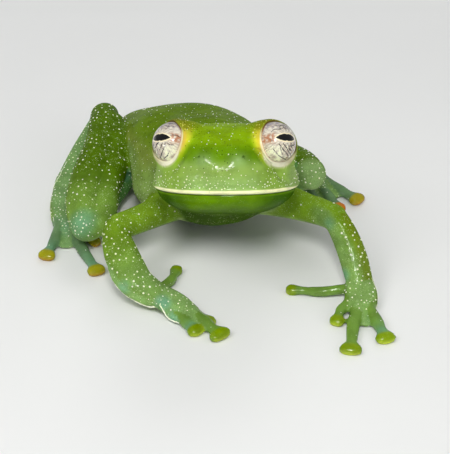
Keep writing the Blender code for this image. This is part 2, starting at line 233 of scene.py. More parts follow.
def lipRelief(above):
    # how far the lips stand out, by the height above the line of the mouth
    upper = 0.12 * hump(above, 0.2, 0.15) - 0.03 * hump(above, 0.55, 0.16)
    groove = -0.2 * hump(above, -0.02, 0.05)
    lower = -0.07 * hump(above, -0.25, 0.22)
    return float(upper + groove + lower)


def headPlace(row):
    up, front, back, half, widest = row
    lip = lipRelief(up - headForm["mouthLevel"])

    def place(turn):
        x, y = squared(turn, headForm["frontSquare"] if math.sin(turn) > 0 else headForm["backSquare"])
        reach = front - widest if y > 0 else widest - back
        ahead = widest + reach * y
        fade = min(max((ahead - headForm["mouthEnds"]) / 1.6, 0.0), 1.0)
        spread = 1 + lip * fade / max(half, 1.0)
        drop = headForm["mouthDrop"] * (front - ahead) * min(max(-up / 2.5, 0.0), 1.0)
        return headPoint(widest + reach * y * spread, half * x * spread, up - drop)
    return place


def headTurns():
    front = [math.pi * k / headForm["frontSides"] for k in range(headForm["frontSides"] + 1)]
    back = headForm["backSides"]
    side = [math.asin((0.66 * k / back) ** 2) for k in range(1, back + 1)]
    nape = [side[-1] + (math.pi - 2 * side[-1]) * k / 12 for k in range(1, 12)]
    return front + [math.pi + t for t in side + nape] + [math.tau - t for t in reversed(side)]


def headRows():
    # the levels again, closer together at the lips than elsewhere
    coarse = easedRows(headForm["levels"], 12)
    rows = [coarse[0]]
    for b in coarse[1:]:
        start = rows[-1]
        fine = -3.75 < b[0] < -2.6
        size = headForm["lipStep"] if fine else headForm["step"]
        far = abs(b[0] - start[0]) if fine else np.abs((b - start)[:4]).max()
        if far < size * 0.9 and b is not coarse[-1]:
            continue
        count = max(1, round(far / size))
        rows += [start + (b - start) * k / count for k in range(1, count + 1)]
    return rows


def pushOut(points, root, middle, radius, soft):
    # points inside a ball are moved out to it, along the lines from a root that lies in the head and the ball
    away = points - root
    far = np.linalg.norm(away, axis=1)
    way = away / far[:, None]
    b = way @ (middle - root)
    reach = b + np.sqrt(np.maximum(b ** 2 + radius ** 2 - ((middle - root) ** 2).sum(), 0.0))
    gap = far - reach
    grown = (far + reach + np.sqrt(gap ** 2 + soft ** 2)) / 2
    near = 1 - ramp(gap, 0.7, 1.7)
    return points + way * ((grown - far) * near)[:, None]


headBalls = [
    # ahead, out, up of the middle, radius, softness: the flesh round the eye, and the brow beside it
    ((0.0, 3.5, 0.0), 1.6, 0.3),
    ((-0.65, 2.65, -0.2), 1.62, 0.4),
    ((-1.3, 3.4, -0.5), 1.55, 0.5)]

headFolds = [
    # ahead, out, up of the middle, then size along each, then how far it stands out (both sides get one)
    (2.5, 1.9, -0.25, 1.4, 0.45, 0.35, 0.1),       # ridge from the eye to the nostril
    (2.6, 2.9, -1.6, 1.0, 0.8, 0.6, -0.14),        # hollow of the cheek under it
    (3.3, 1.18, -0.78, 0.42, 0.42, 0.4, 0.2),      # swelling round the nostril
    (3.7, 0.0, -0.9, 0.5, 0.45, 0.55, -0.07),      # dip between the nostrils
    (0.2, 0.0, 1.0, 1.6, 1.2, 0.6, -0.14),         # the crown sinks between the eyes
    (-3.4, 4.2, -0.9, 0.8, 0.6, 0.55, -0.08),      # ear disc, sunk a little
    (-3.4, 3.7, 0.1, 1.6, 0.5, 0.3, 0.12),         # fold above the ear
    (-2.2, 4.9, -2.6, 1.6, 0.6, 0.5, 0.1),         # muscle at the corner of the mouth
    (0.6, 2.2, -4.5, 1.6, 1.3, 0.6, 0.07)]         # the throat swells beside its middle


def buildHead():
    bm = sweepRings([headPlace(row) for row in headRows()], headTurns())
    everything = bm.verts[:] + bm.edges[:] + bm.faces[:]
    bmesh.ops.bisect_plane(bm, geom=everything, plane_co=headPoint(headForm["cutAt"], 0, 0),
                           plane_no=-headForward, clear_outer=True)
    head = newPiece("headDraft", bm)
    mesh = head.data
    points = readPoints(mesh)
    edges = readEdges(mesh)
    local = inHead(points)
    awayFromMouth = ramp(np.abs(local[:, 2] - headForm["mouthLevel"] + 0.1), 0.35, 0.8)
    rim = np.abs(local[:, 0] - headForm["cutAt"]) > 0.02
    points = relax(points, edges, awayFromMouth * rim, 12, 0.9)
    for place, radius, soft in headBalls:
        for side in (1, -1):
            middle = headPoint(place[0], side * place[1], place[2])
            root = headPoint(-0.5, side * 2.45, -0.85)
            points = pushOut(points, np.array(root), np.array(middle), radius, soft)
    points = relax(points, edges, awayFromMouth * rim, 6, 0.95)
    writePoints(mesh, points)
    normals = readNormals(mesh)
    local = inHead(points)
    for ahead, out, up, long, wide, high, amount in headFolds:
        for side in ((1, -1) if out else (1,)):
            away = (local - (ahead, side * out, up)) / (long, wide, high)
            points = points + normals * (amount * np.exp(-(away ** 2).sum(1)))[:, None]
    points = relax(points, edges, 0.6 * awayFromMouth * rim, 5, 0.9)
    writePoints(mesh, points)
    return head


def openHole(bm, lost):
    # takes points out of a closed skin, and those where two gaps touch, so that the rim is one loop
    while lost:
        bmesh.ops.delete(bm, geom=lost, context="VERTS")
        loose = [v for v in bm.verts if not v.link_faces]
        bmesh.ops.delete(bm, geom=loose, context="VERTS")
        rim = [e for e in bm.edges if e.is_boundary]
        count = {}
        for v in [v for e in rim for v in e.verts]:
            count[v] = count.get(v, 0) + 1
        lost = [v for v, times in count.items() if times > 2]
    return rim


def walkRim(rim):
    beside = {}
    for e in rim:
        for v in e.verts:
            beside.setdefault(v, []).append(e.other_vert(v))
    walk = [rim[0].verts[0], rim[0].verts[1]]
    while True:
        ahead = [v for v in beside[walk[-1]] if v != walk[-2]][0]
        if ahead == walk[0]:
            return walk
        walk.append(ahead)


def leadIn(bm, rim, turnAt, places):
    # leads the skin from the rim of a hole down into it, ring by ring, and closes the last ring
    walk = walkRim(rim)
    turns = np.unwrap([turnAt(v.co) for v in walk])
    even = math.copysign(math.tau, turns[-1] - turns[0]) * np.arange(len(walk)) / len(walk)
    uneven = turns - even
    for _ in range(24):
        uneven = (np.roll(uneven, 1) + uneven * 2 + np.roll(uneven, -1)) / 4
    turnOf = bm.verts.layers.float["turn"]
    for v, turn in zip(walk, uneven + even):
        v[turnOf] = turn
    edges = rim
    for place in places:
        made = bmesh.ops.extrude_edge_only(bm, edges=edges)["geom"]
        ring = [v for v in made if isinstance(v, bmesh.types.BMVert)]
        edges = [e for e in made if isinstance(e, bmesh.types.BMEdge) and e.is_boundary]
        for v in ring:
            v.co = place(v[turnOf])
    middle = sum((v.co for v in ring), Vector()) / len(ring)
    bmesh.ops.pointmerge(bm, verts=ring, merge_co=middle)


lidForm = {
    "clear": 16.0, "blend": 13.0,
    # angle beyond the edge of the lids, distance from the middle of the eye: the rim, then the socket
    "slope": [(13.0, 1.6), (11.0, 1.6), (9.2, 1.6), (7.6, 1.6), (6.2, 1.605), (5.0, 1.615), (3.9, 1.625),
              (2.9, 1.632), (2.0, 1.63), (1.2, 1.618), (0.5, 1.59)],
    "socket": [(0.0, 1.55), (0.1, 1.515), (0.8, 1.5), (2.2, 1.44), (2.2, 1.38), (-6.0, 1.3), (-22.0, 1.22),
               (-40.0, 1.16), (-55.0, 1.1)]}


def cutLids(bm, side):
    middle, look, rear, up = eyePlace(side)
    tree = BVHTree.FromBMesh(bm)

    def wayAt(turn, beyond):
        bend = float(lidEdge(turn, side)) + math.radians(beyond)
        flat = rear * math.cos(turn) + up * math.sin(turn)
        return look * math.cos(bend) + flat * math.sin(bend)

    def skinDistance(way):
        far = tree.ray_cast(middle, way, 4.0)[3]
        return min(far, 2.6) if far else eyeForm["lidRadius"]

    lost = []
    for v in bm.verts:
        away = v.co - middle
        if away.length < 2.9:
            spin = math.atan2(away.dot(up), away.dot(rear))
            if away.angle(look) < float(lidEdge(spin, side)) + math.radians(lidForm["clear"]):
                lost.append(v)

    def slopeRing(beyond, radius):
        share = float(ramp(beyond, 1.5, lidForm["blend"]))

        def place(turn):
            way = wayAt(turn, beyond)
            return middle + way * (radius + (skinDistance(way) - radius) * share)
        return place

    def socketRing(beyond, radius):
        def place(turn):
            return middle + wayAt(turn, beyond) * radius
        return place

    def turnAt(spot):
        return math.atan2((spot - middle).dot(up), (spot - middle).dot(rear))

    places = [slopeRing(*row) for row in lidForm["slope"]] + [socketRing(*row) for row in lidForm["socket"]]
    leadIn(bm, openHole(bm, lost), turnAt, places)


nostrilForm = {"at": (3.25, 1.55, -0.72), "wide": 0.13, "high": 0.085, "lookOut": 48.0, "lookUp": 25.0, "deep": 0.3}


def cutNostril(bm, side):
    ahead, out, up = nostrilForm["at"]
    turnOut, turnUp = math.radians(nostrilForm["lookOut"]), math.radians(nostrilForm["lookUp"])
    look = ((headForward * math.cos(turnOut) + headLeft * side * math.sin(turnOut)) * math.cos(turnUp)
            + headUp * math.sin(turnUp))
    across = look.cross(headUp).normalized()
    rise = across.cross(look)
    tree = BVHTree.FromBMesh(bm)
    middle = tree.find_nearest(headPoint(ahead, side * out, up))[0]
    lost = [v for v in bm.verts if (v.co - middle).length < 0.26]

    def ring(scale, deep):
        def place(turn):
            flat = across * math.cos(turn) * nostrilForm["wide"] + rise * math.sin(turn) * nostrilForm["high"]
            spot = middle + flat * scale
            if deep <= 0.05:
                spot = tree.find_nearest(spot)[0]
            return spot - look * deep
        return place

    def turnAt(spot):
        return math.atan2((spot - middle).dot(rise), (spot - middle).dot(across))

    places = [ring(1.75, -0.01), ring(1.35, -0.03), ring(1.05, 0.0), ring(0.9, 0.06), ring(0.8, 0.16),
              ring(0.55, nostrilForm["deep"])]
    leadIn(bm, openHole(bm, lost), turnAt, places)


# The body and the limbs: middle line of each length, then half width and half height of its section.
torsoForm = {
    # middle of the section, half width, height above it, depth below it
    "stations": [
        (0.00, 5.30, 5.85, 4.60, 3.55, 4.05), (-1.00, 8.00, 4.90, 4.60, 3.75, 4.35),
        (-2.75, 12.00, 3.70, 4.75, 3.25, 3.80), (-4.40, 15.50, 2.70, 4.05, 2.25, 2.80),
        (-5.60, 18.30, 1.85, 2.90, 1.35, 1.90), (-6.25, 20.00, 1.30, 1.85, 0.80, 1.30),
        (-6.50, 20.80, 1.05, 1.00, 0.45, 0.90)],
    "neck": (-5.6, -2.55, 4.65, 3.12, 2.95), "inHead": -4.5, "square": 2.2, "neckSquare": 2.8, "sides": 96}

limbForm = {
    "upperArmLeft": [(2.9, 5.6, 3.6, 1.6, 1.5), (5.2, 3.7, 4.0, 1.15, 1.15), (7.0, 2.2, 4.3, 0.98, 1.0),
                     (8.0, 1.35, 4.4, 0.92, 0.98)],
    "forearmLeft": [(7.8, 1.6, 4.42, 0.88, 0.95), (8.3, 0.9, 4.1, 0.9, 0.95), (8.85, 0.1, 3.3, 0.98, 0.95),
                    (9.35, -0.9, 2.3, 1.02, 0.9), (9.75, -2.2, 1.2, 0.98, 0.7)],
    "handLeft": [(9.75, -1.9, 1.25, 0.95, 0.7), (9.8, -3.2, 0.75, 1.2, 0.58), (9.7, -4.4, 0.42, 1.1, 0.4)],
    "upperArmRight": [(-2.6, 5.7, 3.2, 1.5, 1.4), (-5.0, 3.0, 3.6, 1.05, 1.05), (-7.4, 0.7, 4.0, 0.95, 0.98)],
    "forearmRight": [(-7.3, 0.9, 4.0, 0.9, 0.92), (-7.6, 0.3, 3.85, 0.95, 0.95), (-7.2, -1.2, 3.0, 1.25, 0.95),
                     (-6.2, -2.8, 2.0, 1.28, 0.85), (-4.7, -3.5, 1.2, 1.0, 0.7)],
    "handRight": [(-4.9, -3.3, 1.15, 0.95, 0.7), (-3.5, -4.1, 0.75, 1.15, 0.6), (-2.3, -5.1, 0.45, 1.0, 0.42)],
    "thighRight": [(-5.2, 16.8, 2.3, 1.8, 1.7), (-7.2, 13.0, 2.1, 1.6, 1.5), (-8.3, 9.0, 2.1, 1.4, 1.35),
                   (-9.2, 4.8, 2.4, 1.2, 1.15), (-9.7, 3.4, 2.5, 1.15, 1.1)],
    "shankRight": [(-9.85, 3.2, 2.5, 1.3, 1.25), (-10.1, 5.3, 3.1, 1.45, 1.35), (-9.7, 8.2, 3.6, 1.5, 1.35),
                   (-9.2, 11.5, 3.8, 1.35, 1.25), (-9.1, 15.0, 3.7, 1.2, 1.1), (-9.2, 17.2, 3.3, 1.1, 1.0)],
    "shankRightCalf": [(-9.0, 3.2, 2.6, 1.0, 1.0), (-8.5, 6.0, 3.1, 1.3, 1.15), (-8.2, 9.0, 3.5, 1.3, 1.15),
                       (-8.2, 12.0, 3.7, 1.15, 1.05), (-8.5, 15.6, 3.5, 0.95, 0.9)],
    "tarsusRight": [(-9.25, 17.4, 3.2, 0.92, 0.9), (-9.7, 16.9, 2.5, 0.88, 0.82), (-11.0, 14.0, 1.7, 0.8, 0.75),
                    (-12.0, 10.8, 0.95, 0.85, 0.72)],
    "footRight": [(-12.0, 11.2, 1.0, 0.8, 0.7), (-11.8, 8.4, 0.65, 1.2, 0.55), (-11.4, 6.2, 0.4, 1.25, 0.36),
                  (-11.3, 5.0, 0.28, 0.95, 0.25)],
    "thighLeft": [(-3.0, 17.0, 2.4, 1.8, 1.7), (-0.5, 13.6, 2.5, 1.6, 1.5), (2.2, 10.6, 2.8, 1.45, 1.4),
                  (4.9, 8.2, 3.5, 1.2, 1.15), (6.2, 7.4, 4.1, 1.1, 1.1)],
    "shankLeft": [(6.5, 7.2, 4.3, 1.15, 1.2), (5.7, 9.8, 3.4, 1.4, 1.3), (4.3, 12.7, 2.5, 1.35, 1.2),
                  (2.3, 16.0, 1.6, 1.1, 1.05), (0.5, 18.7, 1.2, 0.92, 0.92)],
    "tarsusLeft": [(0.5, 18.9, 1.15, 0.9, 0.85), (0.9, 19.2, 0.95, 0.86, 0.8), (3.3, 17.6, 0.95, 0.8, 0.75),
                   (5.2, 15.7, 0.9, 0.85, 0.72)],
    "footLeft": [(4.8, 16.0, 0.95, 0.8, 0.7), (6.0, 13.6, 0.65, 1.2, 0.55), (7.2, 11.9, 0.4, 1.25, 0.36),
                 (7.8, 11.1, 0.28, 0.9, 0.25)]}

# root, bend and tip of each finger and toe, then its half thickness and the half width of its disc
digitForm = {
    "fingerLeft1": ((9.2, -2.1, 0.6), (6.9, -2.2, 0.38), (4.75, -1.8, 0.28), 0.34, 0.46),
    "fingerLeft2": ((9.2, -3.2, 0.55), (8.3, -4.5, 0.4), (7.95, -5.75, 0.28), 0.34, 0.55),
    "fingerLeft3": ((9.6, -3.9, 0.55), (9.1, -6.3, 0.42), (8.8, -9.05, 0.28), 0.44, 0.82),
    "fingerLeft4": ((10.1, -3.9, 0.55), (10.8, -5.9, 0.42), (11.35, -7.75, 0.28), 0.42, 0.74),
    "fingerRight1": ((-4.6, -2.4, 0.6), (-3.7, -0.85, 0.4), (-3.3, 0.75, 0.28), 0.34, 0.46),
    "fingerRight2": ((-3.3, -3.9, 0.55), (-1.95, -4.7, 0.4), (-0.75, -5.7, 0.28), 0.32, 0.42),
    "fingerRight3": ((-2.4, -4.8, 0.55), (-1.15, -6.05, 0.42), (-0.05, -7.3, 0.28), 0.43, 0.88),
    "fingerRight4": ((-3.05, -5.0, 0.55), (-2.45, -6.0, 0.42), (-1.75, -6.85, 0.28), 0.42, 0.64),
    "toeRight1": ((-11.4, 9.2, 0.5), (-10.6, 8.4, 0.36), (-10.0, 7.7, 0.26), 0.3, 0.42),
    "toeRight2": ((-11.2, 7.9, 0.5), (-10.3, 6.7, 0.36), (-9.7, 5.9, 0.26), 0.3, 0.42),
    "toeRight3": ((-11.2, 6.9, 0.45), (-10.1, 5.2, 0.36), (-9.3, 4.1, 0.26), 0.3, 0.44),
    "toeRight4": ((-11.3, 6.0, 0.45), (-10.3, 3.1, 0.4), (-9.05, 0.35, 0.28), 0.4, 0.7),
    "toeRight5": ((-12.1, 6.4, 0.45), (-12.4, 4.2, 0.4), (-12.9, 2.25, 0.28), 0.38, 0.66),
    "toeLeft1": ((5.5, 14.0, 0.5), (4.9, 12.7, 0.36), (4.7, 11.5, 0.26), 0.3, 0.42),
    "toeLeft2": ((5.9, 13.2, 0.5), (5.8, 11.4, 0.36), (5.9, 10.1, 0.26), 0.3, 0.45),
    "toeLeft3": ((6.3, 12.9, 0.45), (6.8, 10.6, 0.36), (7.2, 8.9, 0.26), 0.32, 0.5),
    "toeLeft4": ((7.2, 12.0, 0.45), (8.1, 10.0, 0.38), (8.85, 8.45, 0.28), 0.38, 0.55),
    "toeLeft5": ((7.6, 12.4, 0.45), (9.0, 10.9, 0.4), (10.35, 9.75, 0.28), 0.4, 0.7)}

# thin skin between the outer fingers and between the toes: x, y, z, half width, half height
webForm = {
    "webLeftHand": [(9.9, -3.6, 0.4, 1.0, 0.3), (10.0, -5.0, 0.28, 0.75, 0.2), (10.0, -5.9, 0.22, 0.5, 0.15)],
    "webRightHand": [(-2.9, -4.7, 0.45, 1.0, 0.34), (-2.1, -5.7, 0.34, 0.7, 0.26), (-1.6, -6.2, 0.28, 0.4, 0.2)],
    "webRightFoot": [(-11.5, 6.6, 0.4, 1.2, 0.3), (-11.5, 4.9, 0.26, 0.95, 0.2), (-11.5, 3.7, 0.2, 0.6, 0.14)],
    "webRightFoot2": [(-11.0, 6.6, 0.4, 0.8, 0.3), (-10.5, 5.2, 0.26, 0.6, 0.2), (-10.2, 4.4, 0.2, 0.3, 0.14)],
    "webLeftFoot": [(7.2, 12.3, 0.4, 1.1, 0.3), (8.1, 11.0, 0.26, 0.8, 0.2), (8.6, 10.3, 0.2, 0.45, 0.14)],
    "webLeftFoot2": [(6.6, 12.4, 0.4, 0.9, 0.3), (7.1, 10.9, 0.26, 0.7, 0.2), (7.4, 10.0, 0.2, 0.4, 0.14)]}

# folds of skin along the outer edge of the forearm and hand
foldForm = {
    "foldForearm": [(-8.07, -2.28, 2.39, 0.2, 0.2), (-7.8, -2.86, 2.06, 0.25, 0.22), (-7.49, -3.28, 1.79, 0.27, 0.24),
                    (-7.15, -3.58, 1.53, 0.29, 0.25), (-6.76, -3.84, 1.32, 0.31, 0.26), (-6.36, -4.03, 1.17, 0.31, 0.26),
                    (-5.94, -4.15, 0.98, 0.31, 0.26), (-5.51, -4.16, 0.76, 0.3, 0.26), (-5.12, -4.24, 0.63, 0.26, 0.24),
                    (-4.76, -4.44, 0.65, 0.16, 0.16)],
    "foldHand": [(-4.28, -4.86, 0.8, 0.16, 0.16), (-3.94, -5.1, 0.42, 0.22, 0.2), (-3.7, -5.29, 0.32, 0.25, 0.2),
                 (-3.47, -5.45, 0.26, 0.25, 0.2), (-3.23, -5.6, 0.24, 0.22, 0.18), (-3.03, -5.82, 0.25, 0.16, 0.14)]}

bodyForm = {"voxel": 0.158, "sides": 28, "spanSteps": 6, "cutAt": -5.36}


def digitRows(root, bend, tip, thick, disc):
    root, bend, tip = (np.array(p) for p in (root, bend, tip))
    last = (tip - bend) / np.linalg.norm(tip - bend)
    rows = [(*root, thick * 1.15, thick * 1.1)]
    rows.append((*((root + bend) / 2), thick * 1.0, thick * 0.98))
    rows.append((*bend, thick * 1.06, thick * 1.0))
    for back, wide, high in ((1.15, thick * 0.88, thick * 0.82), (0.82, thick * 0.96, thick * 0.84),
                             (0.5, disc * 0.86, 0.33), (0.2, disc * 1.0, 0.35), (-0.05, disc * 0.9, 0.3),
                             (-0.19, disc * 0.62, 0.2)):
        spot = tip - last * back
        if back > 0.9 and np.linalg.norm(tip - bend) < 1.6:
            continue
        rows.append((*spot, wide, high))
    return rows


def tubePlaces(rows, power=2.0, blunt=False):
    rows = np.array(rows)
    middles = [Vector(r[:3]) for r in rows]
    frames = []
    for i, middle in enumerate(middles):
        along = (middles[min(i + 1, len(middles) - 1)] - middles[max(i - 1, 0)]).normalized()
        frames.append((middle, along, rows[i][3], rows[i][4]))
    out = []
    for end, way in ((frames[0], -1), (frames[-1], 1)):
        middle, along, wide, high = end
        reach = min(wide, high) * (0.35 if blunt and way > 0 else 1.0)
        cap = [(middle + along * way * reach * math.sin(a), along, wide * math.cos(a), high * math.cos(a))
               for a in (0.3, 0.6, 0.9, 1.2, 1.4)]
        out = cap[::-1] + frames if way < 0 else out + cap
    places = []
    for middle, along, wide, high in out:
        side = along.cross(Vector((0.0, 0.0, 1.0))).normalized()
        top = side.cross(along)

        def place(turn, middle=middle, side=side, top=top, wide=wide, high=high):
            x, y = squared(turn, power)
            return middle + side * wide * x + top * high * y
        places.append(place)
    return places


def evenTurns(sides):
    return [math.tau * k / sides for k in range(sides)]


def torsoPlaces():
    ahead, up, wide, high, deep = torsoForm["neck"]
    start = headPoint(ahead, 0.0, up)
    places = []
    for reach in (torsoForm["inHead"], ahead):
        middle = headPoint(reach, 0.0, up)

        def place(turn, middle=middle):
            x, y = squared(turn, torsoForm["neckSquare"])
            return middle + headLeft * wide * x + headUp * (high if y > 0 else deep) * y
        places.append(place)
    rows = easedRows(torsoForm["stations"], 6)
    middles = [Vector(r[:3]) for r in rows]
    for i, (row, middle) in enumerate(zip(rows, middles)):
        behind = middles[i - 1] if i else start
        along = (middles[min(i + 1, len(rows) - 1)] - behind).normalized()
        side = along.cross(Vector((0.0, 0.0, 1.0))).normalized()
        top = side.cross(along)

        def place(turn, row=row, middle=middle, side=side, top=top):
            x, y = squared(turn, torsoForm["square"])
            return middle + side * row[3] * x + top * (row[4] if y > 0 else row[5]) * y
        places.append(place)
    tip = middles[-1] + (middles[-1] - middles[-2]).normalized() * 0.4
    last = places[-1]
    places.append(lambda turn: tip + (last(turn) - middles[-1]) * 0.4)
    return places


limbLines = {}
for name, rows in limbForm.items():
    limbLines[name] = easedRows(rows, bodyForm["spanSteps"])
for name, row in digitForm.items():
    limbLines[name] = easedRows(digitRows(*row), 3)
for name, rows in webForm.items():
    limbLines[name] = easedRows(rows, 4)
for name, rows in foldForm.items():
    limbLines[name] = easedRows(np.array(rows) + (0.12, 0.0, 0.2, 0.0, 0.0), 4)


def buildBody():
    shells = bmesh.new()
    addBm(shells, sweepRings(torsoPlaces(), evenTurns(torsoForm["sides"])))
    for name, rows in limbLines.items():
        digit = name in digitForm
        power = 2.5 if digit or name.startswith(("web", "foot")) else 2.0
        addBm(shells, sweepRings(tubePlaces(rows, power, digit), evenTurns(bodyForm["sides"])))
    for v in shells.verts:
        v.co.z = max(v.co.z, -0.05)
    draft = newPiece("bodyDraft", shells)
    remesh = draft.modifiers.new("remesh", "REMESH")
    remesh.mode = "VOXEL"
    remesh.voxel_size = bodyForm["voxel"]
    whole = bpy.data.meshes.new_from_object(draft.evaluated_get(bpy.context.evaluated_depsgraph_get()))
    draft.modifiers.clear()
    draft.data = whole
    return draft


softJoints = [
    # places where two lengths of the body meet, and how far round them the flesh is blended
    ((2.9, 4.6, 4.3), 2.6), ((7.9, 1.5, 4.4), 1.2), ((9.75, -2.1, 1.2), 1.1), ((-2.6, 4.9, 4.0), 2.6),
    ((-7.5, 0.6, 3.9), 1.2), ((-4.75, -3.4, 1.15), 1.1), ((-9.7, 3.3, 2.5), 1.5), ((-9.3, 17.3, 3.2), 1.2),
    ((-12.0, 10.9, 1.0), 1.2), ((-5.2, 16.5, 2.5), 2.4), ((6.4, 7.3, 4.2), 1.4), ((0.7, 19.0, 1.2), 1.2),
    ((5.0, 15.8, 0.9), 1.2), ((-3.0, 16.8, 2.5), 2.4), ((-2.2, -5.4, 0.6), 0.9)]


bodyNudges = [
    # place, reach, how far the skin is pulled there
    ((-1.6, 11.5, 7.2), 2.6, (0.0, 0.0, -0.6)), ((1.4, 8.5, 8.2), 2.0, (-0.25, 0.0, -0.3)),
    ((-5.9, 12.5, 6.4), 2.4, (0.0, 0.0, 0.24)), ((-4.7, 6.6, 3.0), 2.5, (-1.3, -0.2, -0.15))]


def smoothBody(mesh):
    points = readPoints(mesh)
    for spot, reach, pull in bodyNudges:
        near = np.exp(-(((points - spot) ** 2).sum(1) / reach ** 2))
        points = points + near[:, None] * np.array(pull)
    edges = readEdges(mesh)
    points = relax(points, edges, np.ones(len(points)), 10, 1.0)
    soft = np.zeros(len(points))
    for spot, reach in softJoints:
        soft = np.maximum(soft, 1 - ramp(np.linalg.norm(points - spot, axis=1), reach * 0.5, reach))
    points = relax(points, edges, soft, 12, 0.25)
    points = relax(points, edges, np.ones(len(points)), 4, 1.0)
    points[:, 2] = np.maximum(points[:, 2], 0.0)
    writePoints(mesh, points)


def inNeck(points):
    local = inHead(points)
    return (np.abs(local[:, 1] / 5.2) ** 3 + np.abs((local[:, 2] + 2.55) / 3.6) ** 3) < 1


def openEdges(bm):
    return sum(1 for e in bm.edges if not e.is_manifold)


def joinHead(head, body):
    bm = bmesh.new()
    bm.from_mesh(body.data)
    near = inNeck(readPoints(body.data))
    bm.verts.ensure_lookup_table()
    chosen = {v for v, there in zip(bm.verts, near) if there}
    faces = [f for f in bm.faces if chosen.issuperset(f.verts)]
    edges = [e for e in bm.edges if chosen.issuperset(e.verts)]
    bmesh.ops.bisect_plane(bm, geom=list(chosen) + edges + faces, plane_co=headPoint(bodyForm["cutAt"], 0, 0),
                           plane_no=headForward, clear_outer=True)
    bm.verts.layers.float.new("turn")
    bm.from_mesh(head.data)
    bmesh.ops.bridge_loops(bm, edges=[e for e in bm.edges if e.is_boundary])
    print("open edges at the neck", openEdges(bm))
    for side in (1, -1):
        cutLids(bm, side)
        cutNostril(bm, side)
    print("open edges round the eyes and nostrils", openEdges(bm))
    bmesh.ops.triangulate(bm, faces=[f for f in bm.faces if len(f.verts) > 4])
    bmesh.ops.recalc_face_normals(bm, faces=bm.faces)
    bpy.data.objects.remove(head)
    bpy.data.objects.remove(body)
    return newPiece("frogSkin", bm)


def lidRings(points):
    # for each point the angle beyond the edge of the nearer eye's lids, the turn round that eye, and how far
    beyond = np.full(len(points), 180.0)
    spins = np.zeros(len(points))
    reach = np.full(len(points), 9.0)
    for side in (1, -1):
        middle, look, rear, up = (np.array(v) for v in eyePlace(side))
        away = points - middle
        far = np.linalg.norm(away, axis=1)
        bend = np.degrees(np.arccos(np.clip(away @ look / far, -1, 1)))
        spin = np.arctan2(away @ up, away @ rear)
        closer = far < reach
        beyond[closer] = (bend - np.degrees(lidEdge(spin, side)))[closer]
        spins[closer] = spin[closer]
        reach[closer] = far[closer]
    return beyond, spins, reach


def smoothSeams(mesh):
    # softens the skin along the neck and round the lids, where two meshes were joined
    points = readPoints(mesh)
    edges = readEdges(mesh)
    local = inHead(points)
    near = (np.abs(local[:, 1] / 6.4) ** 3 + np.abs((local[:, 2] + 2.4) / 5.2) ** 3) < 1
    band = hump(local[:, 0], -5.9, 1.5) * near * ramp(points[:, 2], 4.5, 6.5)
    band = np.maximum(band, hump(local[:, 0], -5.3, 1.0) * inNeck(points))
    band[band < 0.05] = 0
    points = relax(points, edges, band, 240, 0.1)
    beyond, _, reach = lidRings(points)
    round_ = ramp(beyond, 5.0, 11.0) * (1 - ramp(beyond, 22.0, 34.0)) * (reach < 3.0) * (reach > 1.55)
    points = relax(points, edges, round_, 14, 0.5)
    points[:, 2] = np.maximum(points[:, 2], 0.0)
    writePoints(mesh, points)


print("head")
headDraft = buildHead()
print("body")
bodyDraft = buildBody()
smoothBody(bodyDraft.data)
skin = joinHead(headDraft, bodyDraft)
smoothSeams(skin.data)


def nearestLimb(points):
    best = np.full(len(points), 9.0)
    owner = np.full(len(points), -1)
    along = np.zeros(len(points))
    for number, rows in enumerate(limbLines.values()):
        low, high = rows[:, :3].min(0) - 2.5, rows[:, :3].max(0) + 2.5
        near = np.flatnonzero(((points > low) & (points < high)).all(1))
        if not len(near):
            continue
        gaps = np.linalg.norm(points[near][:, None] - rows[None, :, :3], axis=2) - rows[None, :, 3:5].mean(2)
        gap = gaps.min(1)
        closer = gap < best[near]
        best[near[closer]] = gap[closer]
        owner[near[closer]] = number
        along[near[closer]] = gaps.argmin(1)[closer] / (len(rows) - 1)
    return best, owner, along


limbNames = np.array(list(limbLines))
points = readPoints(skin.data)
normals = readNormals(skin.data)
local = inHead(points)
limbGap, limbOwner, limbAlong = nearestLimb(points)
ownerName = np.where(limbOwner < 0, "torso", limbNames[limbOwner])
lidBeyond, lidSpin, lidReach = lidRings(points)

